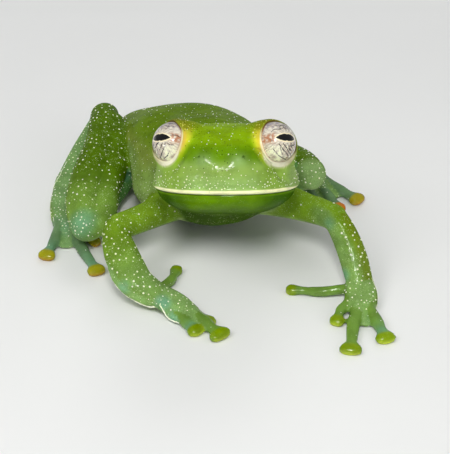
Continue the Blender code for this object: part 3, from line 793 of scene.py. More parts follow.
skinColours = {
    "back": (0.10, 0.19, 0.003), "backEdge": (0.16, 0.19, 0.006), "flank": (0.24, 0.36, 0.09),
    "streak": (0.10, 0.33, 0.20), "belly": (0.36, 0.46, 0.22),
    "crown": (0.205, 0.355, 0.001), "snoutTop": (0.115, 0.24, 0.001), "snout": (0.235, 0.36, 0.07),
    "snoutLow": (0.29, 0.46, 0.12), "cheek": (0.24, 0.39, 0.05), "cheekEdge": (0.33, 0.47, 0.19),
    # nape is a painted shade colour, laid behind the crown and under the jaw
    "nostril": (0.27, 0.42, 0.13), "nape": (0.02, 0.05, 0.001), "lime": (0.30, 0.52, 0.002),
    # the throat's deeper green is partly its own colour and partly painted shade under the head
    "lip": (0.97, 0.96, 0.54), "mouth": (0.05, 0.10, 0.002), "throat": (0.115, 0.25, 0.0005),
    # the next two are painted shade: the dark sides of the throat, and the chest under the head
    "throatSideShade": (0.035, 0.10, 0.0005), "chest": (0.045, 0.10, 0.002),
    "lemon": (0.66, 0.64, 0.035), "orange": (0.74, 0.40, 0.09), "lidWhite": (0.74, 0.72, 0.54),
    "lidBeige": (0.56, 0.52, 0.30), "olive": (0.17, 0.19, 0.006), "lidPink": (0.52, 0.14, 0.10),
    "lidDark": (0.10, 0.05, 0.02), "lidCream": (0.80, 0.70, 0.42),
    "upperArm": (0.17, 0.30, 0.015), "forearm": (0.14, 0.25, 0.012), "forearmLow": (0.19, 0.33, 0.075),
    "armInner": (0.18, 0.31, 0.07), "armOlive": (0.145, 0.205, 0.006), "hand": (0.21, 0.36, 0.10), "thigh": (0.10, 0.26, 0.06),
    "shank": (0.072, 0.145, 0.001), "shankLow": (0.16, 0.28, 0.04), "foot": (0.16, 0.29, 0.09),
    "blue": (0.15, 0.37, 0.23), "finger": (0.14, 0.26, 0.035), "toe": (0.12, 0.22, 0.09), "knee": (0.27, 0.42, 0.15),
    "disc": (0.19, 0.29, 0.001), "discRim": (0.52, 0.62, 0.04), "amber": (0.42, 0.33, 0.006),
    "amberDark": (0.20, 0.20, 0.004), "redOrange": (0.55, 0.17, 0.01), "pale": (0.55, 0.66, 0.42)}

# place, reach and strength of the blue-green tints at the knees, elbows, wrists and hands
blueSpots = [
    ((-10.5, 2.2, 2.9), 1.7, 0.5), ((-9.9, 2.6, 3.4), 1.3, 0.4),
    ((7.6, 0.5, 4.4), 0.7, 0.4), ((8.7, -2.0, 1.7), 0.7, 0.6), ((10.75, -5.8, 0.85), 1.1, 0.8),
    ((-4.2, -4.7, 1.2), 0.9, 0.8), ((-3.4, -5.5, 0.5), 0.8, 0.7), ((-6.9, -3.8, 2.0), 0.7, 0.6),
    ((-6.9, 10.4, 3.6), 0.8, 0.9), ((-6.9, 9.0, 3.0), 0.8, 0.9), ((-12.2, 5.5, 0.9), 1.6, 0.4),
    ((7.3, 9.2, 3.2), 1.2, 0.25)]


def paintSkin():
    colour = np.tile(np.array(skinColours["back"]), (len(points), 1))

    def lay(name, mask):
        nonlocal colour
        mask = np.clip(mask, 0, 1)[:, None]
        colour = colour * (1 - mask) + np.array(skinColours[name]) * mask

    def starts(*names):
        return np.logical_or.reduce([np.char.startswith(ownerName, name) for name in names])

    ahead, out, up = local.T
    wide = np.abs(out)
    face = ramp(ahead, -6.0, -4.6) * ramp(limbGap, 0.1, 0.5)
    limb = ramp(limbGap, 0.45, 0.1)
    # the torso: green back, browner along its shoulders, pale flanks with a blue-green streak
    side = ramp(-normals[:, 2], -0.75, -0.1)
    lay("backEdge", hump(side, 0.35, 0.25) * 0.8)
    lay("flank", side * (1 - face))
    lay("belly", ramp(-normals[:, 2], 0.2, 0.8) * (1 - face))
    # limbs
    lay("upperArm", limb * starts("upperArm"))
    lay("forearm", limb * starts("forearm"))
    lay("forearmLow", limb * starts("forearm") * ramp(limbAlong, 0.35, 0.9))
    inner = ramp(-normals[:, 0] + 0.6 * -normals[:, 1], 0.45, 0.9) * ramp(points[:, 0], 6.0, 7.0)
    lay("armOlive", 0.8 * limb * starts("forearmLeft") * ramp(normals[:, 0], 0.0, 0.5))
    lay("armInner", limb * starts("forearmLeft", "upperArmLeft") * inner)
    lay("hand", limb * starts("hand", "web", "fold"))
    lay("foot", limb * starts("webRightFoot", "webLeftFoot"))
    lay("thigh", limb * starts("thigh") * ramp(limbAlong, 0.15, 0.4))
    lay("shank", limb * starts("shank"))
    lay("shankLow", limb * starts("shankRight") * ramp(limbAlong, 0.42, 0.05))
    lay("foot", limb * starts("tarsus", "foot"))
    lay("belly", limb * ramp(-normals[:, 2], 0.3, 0.9) * 0.7)
    for spot, reach, strength in blueSpots:
        lay("blue", strength * (1 - ramp(np.linalg.norm(points - spot, axis=1), reach * 0.2, reach)))
    lay("knee", 0.85 * (1 - ramp(np.linalg.norm(points - (6.5, 6.2, 4.6), axis=1), 0.8, 2.0)))
    lay("armInner", 0.6 * limb * starts("hand", "web") * (points[:, 0] > 0))
    # painted shadow: the chest under the head is darkened
    lay("chest", (1 - face) * ramp(limbGap, 0.0, 0.5) * ramp(np.abs(points[:, 0]), 4.6, 3.2) * ramp(points[:, 1], 9.0, 5.5)
        * ramp(points[:, 2], 6.0, 4.2))
    digits = limb * starts("finger", "toe")
    lay("finger", digits * starts("finger"))
    lay("toe", digits * starts("toe"))
    lay("blue", 0.5 * digits * starts("fingerLeft4", "fingerRight4", "toeRight") * ramp(limbAlong, 0.2, 0.5))
    for name, (_, bend, tip, _, disc) in digitForm.items():
        way = (np.array(tip) - bend) / np.linalg.norm(np.array(tip) - bend)
        reach = (points - tip) @ way
        ours = (ownerName == name) * ramp(reach, -0.62, -0.4) * (limbGap < 0.5)
        warm = name.startswith(("toeRight", "toeLeft"))
        lay("amber" if warm else "disc", ours)
        lay("amberDark" if name == "toeLeft5" else "disc", ours * warm * 0.4)
        lay("redOrange", ours * (name == "toeLeft4"))
        rim = ours * ramp(reach, -0.12, 0.12) * ramp(points[:, 2], 0.5, 0.12)
        lay("redOrange" if warm else "discRim", rim * (0.5 if warm else 0.9))
    # the head, from its crown down to the lips
    lay("crown", face)
    lay("snoutTop", face * ramp(up, 0.35, -0.25) * ramp(ahead, 0.5, 2.0))
    lay("snout", face * ramp(up, -0.75, -1.5) * ramp(ahead, -3.0, 0.5))
    lay("snoutLow", face * ramp(up, -1.6, -2.7) * ramp(ahead, -1.5, 1.5))
    lay("cheek", face * ramp(up, -0.9, -1.6) * ramp(wide, 2.0, 3.2) * 0.85)
    lay("cheekEdge", face * ramp(up, -1.2, -2.0) * ramp(wide, 3.9, 4.7) * 0.35)
    lay("nostril", 0.85 * face * hump(wide, 1.2, 0.55) * hump(up, -1.0, 0.4) * ramp(ahead, 2.2, 3.0))
    # painted shade: a dark band behind the crown, where the head shades the neck
    lay("nape", 0.6 * hump(ahead, -3.6, 0.8) * ramp(up, 0.0, 0.6) * ramp(wide, 2.8, 1.0))
    # round the eyes, by sector: 90 is up, 180 towards the nose, 270 down
    turn = np.degrees(lidSpin) % 360
    near = (lidReach < 2.6) * (ahead > -3.5)
    beyond = lidBeyond + np.maximum(lidReach - 1.7, 0) * 55
    rim = lidReach < 1.6
    nose = near * ramp(turn, 118, 150) * ramp(turn, 262, 222)
    low = near * ramp(turn, 215, 240) * ramp(turn, 352, 318)
    top = near * ramp(turn, 52, 84) * ramp(turn, 168, 140)
    rear = near * np.maximum(ramp(turn, 318, 345), ramp(turn, 78, 48))
    lay("lime", nose * ramp(beyond, 62, 26) * 0.75)
    lay("lemon", nose * ramp(beyond, 44, 16) * ramp(turn, 236, 200))
    lay("orange", nose * hump(beyond, 7.5, 5.0) * ramp(turn, 135, 160) * np.where(out < 0, 0.6, 0.32))
    lay("lidCream", nose * ramp(beyond, 4.5, 2.8))
    brow = np.exp(-(((ahead + 0.6) / 1.6) ** 2 + ((wide - 2.75) / 0.95) ** 2 + ((up - 1.1) / 0.6) ** 2))
    brow = np.clip(np.maximum(brow * 1.25, top * ramp(beyond, 60, 24)), 0, 1) * face
    lay("olive", brow * 0.92)
    lay("olive", rear * ramp(beyond, 22, 6) * 0.7)
    lay("lidBeige", low * ramp(beyond, 18, 6))
    lay("lidWhite", low * ramp(beyond, 13, 7) * ramp(turn, 312, 270))
    lay("lidWhite", near * hump(turn, 236, 24) * ramp(beyond, 13, 9))
    lay("lidDark", rim * np.maximum(top * 0.8, rear) * ramp(lidBeyond, 3.0, 1.0))
    lay("lidDark", rim * ramp(lidBeyond, -1.0, -3.0))
    lay("lidPink", rim * nose * ramp(lidBeyond, 0.6, -0.4) * (lidReach < 1.58))
    # throat, lips and the line between them. The throat is a deeper green, partly as painted shade under the head, and
    # its sides and the skin under the jaw are painted shade
    drop = headForm["mouthDrop"] * np.maximum(3.28 - ahead, 0)
    above = up + drop - headForm["mouthLevel"]
    ends = ramp(ahead, -4.2, -3.3) * (limbGap > 0.3)
    lay("throat", face * ramp(above, 0.05, -0.02))
    # painted shade on the sides of the throat
    lay("throatSideShade", face * ramp(above, -0.05, -0.3) * ramp(wide, 1.6, 4.0))
    # painted shade under the jaw
    lay("nape", face * ramp(above, -0.7, -1.9) * 0.8)
    lipHigh = 0.15 + 0.15 * ramp(ahead, -2.5, 2.6)
    lay("lip", ends * face * ramp(above, -0.02, 0.02) * ramp(above, lipHigh + 0.03, lipHigh - 0.03))
    lay("mouth", 0.9 * ends * face * hump(above, -0.045, 0.035))
    specks = face * (0.05 + 0.16 * ramp(up, -0.6, 0.2)) * ramp(lidBeyond, 5, 14)
    specks = np.maximum(specks, 0.85 * ramp(brow, 0.1, 0.5) * ramp(lidBeyond, 0.5, 3.0))
    specks = np.maximum(specks, 0.5 * face * hump(wide, 1.3, 0.7) * hump(up, -0.72, 0.3) * ramp(ahead, 2.0, 3.0))
    specks = np.maximum(specks, 0.16 * (limbGap > 0.3) * (1 - face))
    grains = 0.35 + 0.65 * np.maximum(limb, side * (1 - face))
    grains = grains * (1 - face) + face * (0.25 + 0.55 * ramp(up, -1.0, -2.4))
    grains = grains * ramp(lidBeyond, 6, 20) * ramp(np.abs(above - 0.1), 0.2, 0.35) * (1 - 0.7 * (above < 0) * face)
    brow = brow * ramp(lidBeyond, 1.0, 5.0)
    grains = np.maximum(grains, 1 - ramp(np.linalg.norm(points - (6.7, 6.4, 4.3), axis=1), 1.0, 2.2))
    # wet skin shines most on the hands, the feet and the front of the snout
    wet = np.maximum(limb * starts("hand", "finger", "foot", "toe", "web"), 0.35 * face * ramp(ahead, 2.6, 3.4) * (above > 0.3))
    return np.hstack((colour, wet[:, None])), np.stack((specks, np.clip(grains * (1 - digits * 0.8), 0, 1), brow), 1)


colours, marks = paintSkin()
layer = skin.data.color_attributes.new("skinPaint", "FLOAT_COLOR", "POINT")
layer.data.foreach_set("color", colours.astype(np.float32).ravel())
layer = skin.data.attributes.new("skinMarks", "FLOAT_VECTOR", "POINT")
layer.data.foreach_set("vector", marks.astype(np.float32).ravel())


def newMaterial(name, settings):
    material = bpy.data.materials.new(name)
    material.use_nodes = True
    shader = material.node_tree.nodes["Principled BSDF"]
    for key, value in settings.items():
        shader.inputs[key].default_value = value
    return material, material.node_tree, shader


def feed(tree, socket, value):
    if isinstance(value, bpy.types.NodeSocket):
        tree.links.new(value, socket)
    elif isinstance(value, (int, float)):
        socket.default_value = value
    else:
        socket.default_value = (*value, 1.0) if len(socket.default_value) == 4 else value


def calc(tree, operation, *values):
    node = tree.nodes.new("ShaderNodeMath")
    node.operation = operation
    for socket, value in zip(node.inputs, values):
        feed(tree, socket, value)
    return node.outputs[0]


def blend(tree, factor, first, second, kind="MIX"):
    mix = tree.nodes.new("ShaderNodeMix")
    mix.data_type = "RGBA"
    mix.blend_type = kind
    for key, value in (("Factor_Float", factor), ("A_Color", first), ("B_Color", second)):
        feed(tree, next(s for s in mix.inputs if s.identifier == key), value)
    return next(s for s in mix.outputs if s.identifier == "Result_Color")


def ease(tree, source, low, high, toLow=0.0, toHigh=1.0):
    node = tree.nodes.new("ShaderNodeMapRange")
    node.interpolation_type = "SMOOTHSTEP"
    for key, value in (("Value", source), ("From Min", low), ("From Max", high), ("To Min", toLow),
                       ("To Max", toHigh)):
        feed(tree, node.inputs[key], value)
    return node.outputs["Result"]


def noise(tree, where, scale, detail=3.0):
    node = tree.nodes.new("ShaderNodeTexNoise")
    for key, value in (("Scale", scale), ("Detail", detail), ("Vector", where)):
        feed(tree, node.inputs[key], value)
    return node.outputs["Fac"]


def cells(tree, where, scale, feature="F1"):
    node = tree.nodes.new("ShaderNodeTexVoronoi")
    node.feature = feature
    feed(tree, node.inputs["Scale"], scale)
    feed(tree, node.inputs["Vector"], where)
    return node


def split(tree, vector):
    node = tree.nodes.new("ShaderNodeSeparateXYZ")
    feed(tree, node.inputs[0], vector)
    return node.outputs


def stored(tree, name, output="Vector"):
    node = tree.nodes.new("ShaderNodeAttribute")
    node.attribute_name = name
    return node.outputs[output]


def objectPlace(tree):
    return tree.nodes.new("ShaderNodeTexCoord").outputs["Object"]


def spotCells(tree, where, scale, radius, share):
    # small round spots in a share of the cells
    node = cells(tree, where, scale)
    spot = ease(tree, node.outputs["Distance"], radius, radius * 0.55)
    return calc(tree, "MULTIPLY", spot, calc(tree, "LESS_THAN", split(tree, node.outputs["Color"])[0], share))


def skinMaterial():
    material, tree, shader = newMaterial("moistFrogSkin", {
        "Specular IOR Level": 0.0, "Coat Roughness": 0.12, "Subsurface Weight": 0.2,
        "Subsurface Radius": (0.8, 1.0, 0.35), "Subsurface Scale": 0.0003})
    where = objectPlace(tree)
    speck, grain, brow = split(tree, stored(tree, "skinMarks"))
    colour = stored(tree, "skinPaint", "Color")
    mottle = ease(tree, noise(tree, where, 900.0), 0.3, 0.7, 0.84, 1.14)
    toGrey = tree.nodes.new("ShaderNodeCombineColor")
    for socket in toGrey.inputs:
        feed(tree, socket, mottle)
    colour = blend(tree, 1.0, colour, toGrey.outputs[0], "MULTIPLY")
    # fine raised grains, paler than the skin between them
    fine = cells(tree, where, 8000.0)
    spot = ease(tree, fine.outputs["Distance"], 0.42, 0.16)
    patch = ease(tree, noise(tree, where, 2400.0), 0.4, 0.66)
    pale = calc(tree, "MULTIPLY", calc(tree, "MULTIPLY", spot, patch), calc(tree, "MULTIPLY", grain, 0.8))
    lighter = blend(tree, 0.6, colour, (0.62, 0.74, 0.36))
    colour = blend(tree, pale, colour, lighter)
    between = calc(tree, "MULTIPLY", ease(tree, noise(tree, where, 12000.0, 1.0), 0.5, 0.72, 0.0, 0.4), grain)
    colour = blend(tree, between, colour, blend(tree, 0.6, colour, (0.03, 0.08, 0.002)))
    # yellow flecks, then black ones, on the brows
    fleck = spotCells(tree, where, 6500.0, 0.45, 0.45)
    colour = blend(tree, calc(tree, "MULTIPLY", fleck, brow), colour, (0.62, 0.60, 0.10))
    colour = blend(tree, calc(tree, "MULTIPLY", spotCells(tree, where, 5600.0, 0.3, speck), 0.85), colour,
                   (0.012, 0.016, 0.004))
    feed(tree, shader.inputs["Base Color"], colour)
    feed(tree, shader.inputs["Coat Weight"], ease(tree, stored(tree, "skinPaint", "Alpha"), 0.0, 1.0, 0.13, 0.7))
    feed(tree, shader.inputs["Roughness"], ease(tree, noise(tree, where, 5000.0), 0.3, 0.7, 0.36, 0.55))
    bump = tree.nodes.new("ShaderNodeBump")
    bump.inputs["Strength"].default_value = 0.5
    bump.inputs["Distance"].default_value = 0.00003
    feed(tree, bump.inputs["Height"], cells(tree, where, 6500.0, "SMOOTH_F1").outputs["Distance"])
    feed(tree, shader.inputs["Normal"], bump.outputs[0])
    wet = tree.nodes.new("ShaderNodeBump")
    wet.inputs["Strength"].default_value = 0.6
    wet.inputs["Distance"].default_value = 0.00005
    feed(tree, wet.inputs["Height"], noise(tree, where, 4200.0, 2.0))
    feed(tree, shader.inputs["Coat Normal"], wet.outputs[0])
    return material


def pearlMaterial():
    material, tree, shader = newMaterial("creamTubercles", {
        "Roughness": 0.35, "Coat Weight": 0.3, "Coat Roughness": 0.1, "Subsurface Weight": 0.15,
        "Subsurface Radius": (1.0, 1.0, 0.7), "Subsurface Scale": 0.0001})
    tint = ease(tree, noise(tree, objectPlace(tree), 1500.0), 0.35, 0.65)
    feed(tree, shader.inputs["Base Color"], blend(tree, tint, (0.97, 0.97, 0.80), (0.88, 0.93, 0.58)))
    return material


skin.data.materials.clear()
skin.data.materials.append(skinMaterial())
skinNodes = [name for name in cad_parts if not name.startswith("eye")]


dotForm = {"seed": 7, "tries": 90000, "perBatch": 200}

# where dots grow: start of the limb's name, dots for each square millimetre, size of the largest in millimetres
dotPlaces = [
    ("upperArm", 1.8, 0.08), ("upperArmLeft", 0.5, 0.065), ("forearm", 3.8, 0.094), ("hand", 4.4, 0.078),
    ("shank", 2.5, 0.082), ("thigh", 2.4, 0.075), ("tarsus", 6.5, 0.07), ("foot", 8.0, 0.062), ("web", 1.2, 0.05),
    ("fold", 5.0, 0.05), ("finger", 0.9, 0.055), ("toe", 0.8, 0.05)]


def dotDensity(nearest):
    names = ownerName[nearest]
    ahead, out, up = local[nearest].T
    place, facing = points[nearest], normals[nearest]
    face = ramp(ahead, -6.2, -4.4) * (limbGap[nearest] > 0.4)
    above = up + headForm["mouthDrop"] * np.maximum(3.28 - ahead, 0) - headForm["mouthLevel"]
    density = np.full(len(nearest), 1.3)
    size = np.full(len(nearest), 0.055)
    flank = ramp(-facing[:, 2], -0.7, -0.2)
    density = density + 4.5 * flank
    size = size - 0.012 * flank
    limb = limbGap[nearest] < 0.35
    for start, many, large in dotPlaces:
        ours = limb & np.char.startswith(names, start)
        density[ours] = many
        size[ours] = large
    # the left forearm's inner half is bare, and the right knee and the heels are dotted more
    bare = ramp(facing[:, 0] - 0.35 * facing[:, 1], 0.25, 0.0) * (place[:, 0] > 6)
    density = density * (1 - bare * limb * np.char.startswith(names, "forearm"))
    for spot, reach, more in (((-10.2, 2.3, 2.9), 1.4, 3.2), ((6.8, 6.3, 4.3), 1.7, 2.0), ((10.7, -4.3, 0.9), 1.2, 1.8), ((-6.0, -4.0, 1.2), 1.2, 1.5)):
        density = density * (1 + (more - 1) * (1 - ramp(np.linalg.norm(place - spot, axis=1), reach * 0.5, reach)))
    density = np.where(facing[:, 2] < -0.2, 0.0, density)
    low = face * ramp(above, 2.2, 0.7) * ramp(above, 0.3, 0.4)
    density = density * (1 - face) + face * (1.7 + 7.5 * low + 5.0 * hump(above, 0.55, 0.25))
    size = size * (1 - face) + face * (0.052 + 0.012 * low)
    density = density * (1 - 0.6 * face * ramp(np.abs(out), 3.8, 4.6))
    density = np.where(face * (above < 0.4) > 0.3, 0.0, density)
    # the chest is bare
    density = np.where((np.abs(place[:, 0]) < 4.6) & (place[:, 1] < 8) & (place[:, 2] < 6) & ~limb, 0.0, density)
    density = np.where((lidBeyond[nearest] < 12.0) & (lidReach[nearest] < 2.2), 0.0, density)
    return density, size


def scatterDots():
    rng = np.random.default_rng(dotForm["seed"])
    mesh = skin.data
    mesh.calc_loop_triangles()
    corners = np.empty(len(mesh.loop_triangles) * 3, int)
    mesh.loop_triangles.foreach_get("vertices", corners)
    corners = corners.reshape(-1, 3)
    a, b, c = (points[corners[:, k]] for k in range(3))
    area = np.linalg.norm(np.cross(b - a, c - a), axis=1) / 2
    total = area.sum()
    picks = rng.choice(len(area), dotForm["tries"], p=area / total)
    share = rng.random((dotForm["tries"], 2))
    share = np.where(share.sum(1, keepdims=True) > 1, 1 - share, share)
    spots = a[picks] + (b - a)[picks] * share[:, :1] + (c - a)[picks] * share[:, 1:]
    nearest = corners[picks, 0]
    facing = normals[nearest]
    density, size = dotDensity(nearest)
    lot = rng.random(len(spots))
    wanted = np.flatnonzero(lot < density * 2.0 * total / dotForm["tries"])
    discs = np.array([row[2] for row in digitForm.values()])
    taken = {}
    chosen = []
    for k in wanted:
        spot = spots[k]
        if spot[2] < 0.12 or np.linalg.norm(discs - spot, axis=1).min() < 0.8:
            continue
        room = 0.6 / math.sqrt(density[k])
        cell = tuple((spot // 0.6).astype(int))
        close = [taken.get((cell[0] + i, cell[1] + j, cell[2] + m), ()) for i in (-1, 0, 1) for j in (-1, 0, 1)
                 for m in (-1, 0, 1)]
        if any(np.linalg.norm(spot - other) < room for group in close for other in group):
            continue
        taken.setdefault(cell, []).append(spot)
        chosen.append((spot, facing[k], size[k] * (0.42 + 0.58 * rng.random() ** 1.3)))
    print("dots", len(chosen), "on", round(total), "mm2")
    everything = bmesh.new()
    for start in range(0, len(chosen), dotForm["perBatch"]):
        batch = bmesh.new()
        for spot, normal, radius in chosen[start:start + dotForm["perBatch"]]:
            turn = Vector(normal).to_track_quat("Z", "Y").to_matrix().to_4x4()
            place = Matrix.Translation(spot) @ turn @ Matrix.Diagonal((radius, radius, radius * 0.75, 1.0))
            bmesh.ops.create_icosphere(batch, subdivisions=1, radius=1.0, matrix=place)
        addBm(everything, batch)
    dots = newPiece("creamDots", everything)
    dots.data.materials.append(pearl)
    return dots


# scalloped white fringe along the outer edges of the forearms, hands and feet: place, then half thickness
fringeForm = {
    "beads": 0.34, "sides": 8, "step": 0.085,
    "lines": [
        [(-8.1, -2.29, 2.37, 0.022), (-7.58, -3.33, 1.73, 0.03), (-7.25, -3.65, 1.44, 0.036), (-6.86, -3.92, 1.2, 0.045),
         (-6.44, -4.13, 1.05, 0.055), (-6.02, -4.26, 0.84, 0.07), (-5.6, -4.26, 0.64, 0.078), (-5.18, -4.3, 0.56, 0.08),
         (-4.78, -4.47, 0.64, 0.06)],
        [(-4.5, -4.72, 0.86, 0.04), (-4.17, -4.97, 0.62, 0.06), (-3.96, -5.13, 0.39, 0.072), (-3.75, -5.33, 0.28, 0.075),
         (-3.5, -5.49, 0.22, 0.075), (-3.26, -5.63, 0.18, 0.06), (-3.04, -5.84, 0.23, 0.035)],
        [(10.5, -2.1, 1.5, 0.014), (10.85, -3.1, 0.8, 0.026), (10.95, -4.2, 0.45, 0.03), (10.95, -5.2, 0.35, 0.018)],
        [(-11.7, 12.6, 1.6, 0.018), (-12.4, 10.6, 1.1, 0.026), (-12.7, 9.4, 0.8, 0.03), (-12.6, 7.8, 0.6, 0.03),
         (-12.4, 6.4, 0.45, 0.02)],
        [(4.0, 16.0, 1.0, 0.02), (5.2, 14.6, 0.8, 0.034), (6.6, 13.6, 0.6, 0.04), (8.0, 12.2, 0.4, 0.03)]]}


def buildFringe():
    tree = BVHTree.FromPolygons([v.co for v in skin.data.vertices], [p.vertices for p in skin.data.polygons])
    whole = bmesh.new()
    for number, line in enumerate(fringeForm["lines"]):
        rows = easedRows(line, 24)
        if number < 2:
            rows[:, :3] += (0.12, 0.0, 0.2)
        length = np.concatenate(([0.0], np.cumsum(np.linalg.norm(np.diff(rows[:, :3], axis=0), axis=1))))
        steps = np.arange(0.0, length[-1], fringeForm["step"])
        rows = np.stack([np.interp(steps, length, rows[:, k]) for k in range(4)], 1)
        beaded = []
        for far, (x, y, z, thick) in zip(steps, rows):
            spot, normal, _, _ = tree.find_nearest((x, y, z))
            swell = 0.62 + 0.38 * abs(math.sin(math.pi * far / fringeForm["beads"]))
            centre = spot + normal * thick * 0.35
            beaded.append((*centre[:2], max(centre[2], thick * swell * 0.9), thick * swell, thick * swell))
        smooth = np.array(beaded)
        for _ in range(2):
            smooth[1:-1, :3] = (smooth[:-2, :3] + smooth[1:-1, :3] * 2 + smooth[2:, :3]) / 4
        addBm(whole, sweepRings(tubePlaces(smooth), evenTurns(fringeForm["sides"])))
    fringe = newPiece("whiteFringe", whole)
    fringe.data.materials.append(pearl)
    return fringe


pearl = pearlMaterial()
dots = scatterDots()
fringe = buildFringe()


eyeDetail = {
    "around": 224, "down": 132, "pupilHalf": 0.548, "pupilTop": 0.18, "pupilLow": 0.165, "pupilOut": {1: 0.13, -1: 0.106},
    "cornea": 0.02,
    # dark lines on each iris: radians outwards from the look and upwards, then half width
    "lines": {
        1: [[(-0.28, -0.31, 0.014), (-0.14, -0.47, 0.02), (0.02, -0.63, 0.02), (0.4, -0.9, 0.024), (0.61, -1.16, 0.016)],
            [(-0.56, -0.53, 0.01), (-0.36, -0.76, 0.017), (-0.16, -0.92, 0.017), (0.17, -1.07, 0.026), (0.42, -1.14, 0.02)],
            [(-0.08, -0.29, 0.012), (0.1, -0.47, 0.02), (0.24, -0.6, 0.018), (0.43, -0.78, 0.012)],
            [(0.12, -0.27, 0.016), (0.24, -0.41, 0.026), (0.32, -0.54, 0.024), (0.55, -0.61, 0.016)],
            [(0.38, -0.23, 0.014), (0.42, -0.36, 0.026), (0.58, -0.51, 0.022), (0.77, -0.63, 0.014)],
            [(0.24, -0.42, 0.02), (0.4, -0.37, 0.026), (0.65, -0.31, 0.024), (0.8, -0.23, 0.012)],
            [(0.32, -0.54, 0.012), (0.45, -0.7, 0.014), (0.65, -0.89, 0.016)],
            [(-0.2, -0.36, 0.008), (-0.18, -0.56, 0.01), (-0.04, -0.82, 0.01)],
            [(-0.6, 0.32, 0.008), (-0.38, 0.46, 0.012), (-0.12, 0.42, 0.014), (0.12, 0.54, 0.012), (0.32, 0.47, 0.014)],
            [(-0.28, 0.74, 0.012), (-0.08, 0.64, 0.016), (0.09, 0.72, 0.02), (0.33, 0.67, 0.016), (0.51, 0.49, 0.012)],
            [(-0.08, 0.64, 0.012), (-0.12, 0.43, 0.012)],
            [(0.09, 0.72, 0.014), (0.12, 0.54, 0.014), (0.22, 0.38, 0.01)]],
        -1: [[(-0.22, -0.26, 0.016), (-0.16, -0.45, 0.022), (-0.06, -0.6, 0.02), (0.06, -0.75, 0.026), (0.2, -0.9, 0.026), (0.37, -1.02, 0.014)],
             [(-0.32, -0.75, 0.014), (-0.24, -0.87, 0.024), (-0.1, -0.97, 0.022), (0.12, -1.08, 0.014)],
             [(-0.06, -0.29, 0.014), (0.02, -0.44, 0.022), (0.15, -0.59, 0.014)],
             [(0.13, -0.23, 0.016), (0.27, -0.31, 0.03), (0.39, -0.43, 0.026), (0.57, -0.49, 0.02)],
             [(0.43, -0.19, 0.014), (0.57, -0.29, 0.03), (0.67, -0.43, 0.022), (0.63, -0.63, 0.016)],
             [(0.21, -0.47, 0.01), (0.33, -0.65, 0.016), (0.39, -0.83, 0.012)],
             [(-0.42, 0.13, 0.01), (-0.6, 0.16, 0.014), (-0.78, 0.15, 0.014), (-0.88, 0.11, 0.012)],
             [(-0.28, -0.22, 0.008), (-0.44, -0.33, 0.012), (-0.62, -0.33, 0.008)],
             [(-0.36, 0.88, 0.014), (-0.13, 0.9, 0.026), (0.11, 0.93, 0.03), (0.33, 0.87, 0.024)],
             [(-0.42, 0.7, 0.008), (-0.16, 0.61, 0.014), (0.08, 0.67, 0.014), (0.35, 0.59, 0.012)],
             [(-0.13, 0.9, 0.014), (-0.16, 0.61, 0.01), (-0.08, 0.44, 0.012)]]}}


def toLine(spots, line):
    # distance from each spot to a bent line, less the line's own half width there
    rows = easedRows(line, 6)
    best = np.full(len(spots), 9.0)
    for a, b in zip(rows, rows[1:]):
        along = b[:2] - a[:2]
        share = np.clip((spots - a[:2]) @ along / max(along @ along, 1e-9), 0, 1)
        gap = np.linalg.norm(spots - a[:2] - share[:, None] * along, axis=1) - (a[2] + (b[2] - a[2]) * share)
        best = np.minimum(best, gap)
    return best


def toPupil(spots):
    # distance from the edge of the pupil: a level slit, notched above and below, pointed towards the nose
    half, top, low = (eyeDetail[key] for key in ("pupilHalf", "pupilTop", "pupilLow"))
    x = np.linspace(-half, half, 240)
    power = np.where(x > 0, 0.6, 0.88)
    arch = np.maximum(1 - (x / half) ** 2, 0.0) ** power
    ripple = 1 + 0.03 * np.sin(x * 31) + 0.02 * np.sin(x * 53 + 1)
    upper = top * arch * ripple - 0.034 * hump(x, 0.03, 0.045)
    lower = -low * arch * ripple + 0.026 * hump(x, 0.0, 0.04)
    outline = np.vstack((np.stack((x, upper), 1), np.stack((x, lower), 1)))
    gap = np.full(len(spots), 9.0)
    for start in range(0, len(outline), 40):
        part = outline[start:start + 40]
        gap = np.minimum(gap, np.linalg.norm(spots[:, None] - part[None], axis=2).min(1))
    inside = ((spots[:, 1] < np.interp(spots[:, 0], x, upper)) & (spots[:, 1] > np.interp(spots[:, 0], x, lower))
              & (np.abs(spots[:, 0]) < half))
    return np.where(inside, -gap, gap)


def buildEye(side, name):
    middle, look, rear, up = eyePlace(side)
    bm = bmesh.new()
    bmesh.ops.create_uvsphere(bm, u_segments=eyeDetail["around"], v_segments=eyeDetail["down"], radius=1.0)
    eye = newPiece(name, bm)
    mesh = eye.data
    ball = readPoints(mesh)
    bend = np.arccos(np.clip(ball[:, 2], -1, 1))
    spin = np.arctan2(ball[:, 1], ball[:, 0])
    flat = np.stack((bend * np.cos(spin), bend * np.sin(spin)), 1)
    shown = np.stack((flat[:, 0], flat[:, 1], bend), 1)
    fromPupil = flat - (eyeDetail["pupilOut"][side], 0.0)
    lines = np.min([toLine(flat, line) for line in eyeDetail["lines"][side]], axis=0)
    marks = np.stack((toPupil(fromPupil), lines, np.zeros(len(lines))), 1)
    turn = np.arctan2(fromPupil[:, 1] * 2.2, fromPupil[:, 0])
    flow = np.stack((np.cos(turn) * 1.5, np.sin(turn) * 1.5, marks[:, 0]), 1)
    for key, values in (("irisPlace", shown), ("irisMarks", marks), ("irisFlow", flow)):
        layer = mesh.attributes.new(key, "FLOAT_VECTOR", "POINT")
        layer.data.foreach_set("vector", values.astype(np.float32).ravel())
    swell = eyeDetail["cornea"] * (1 - ramp(bend, 0.25, 0.9))
    ball = ball * (eyeForm["radius"] * (1 + swell - 0.012 * ramp(bend, 1.25, 1.7)))[:, None]
    writePoints(mesh, np.array(middle) + ball @ np.array((rear, up, look)))
    if side < 0:
        mesh.flip_normals()
    mesh.materials.append(irisPaint)
    return eye


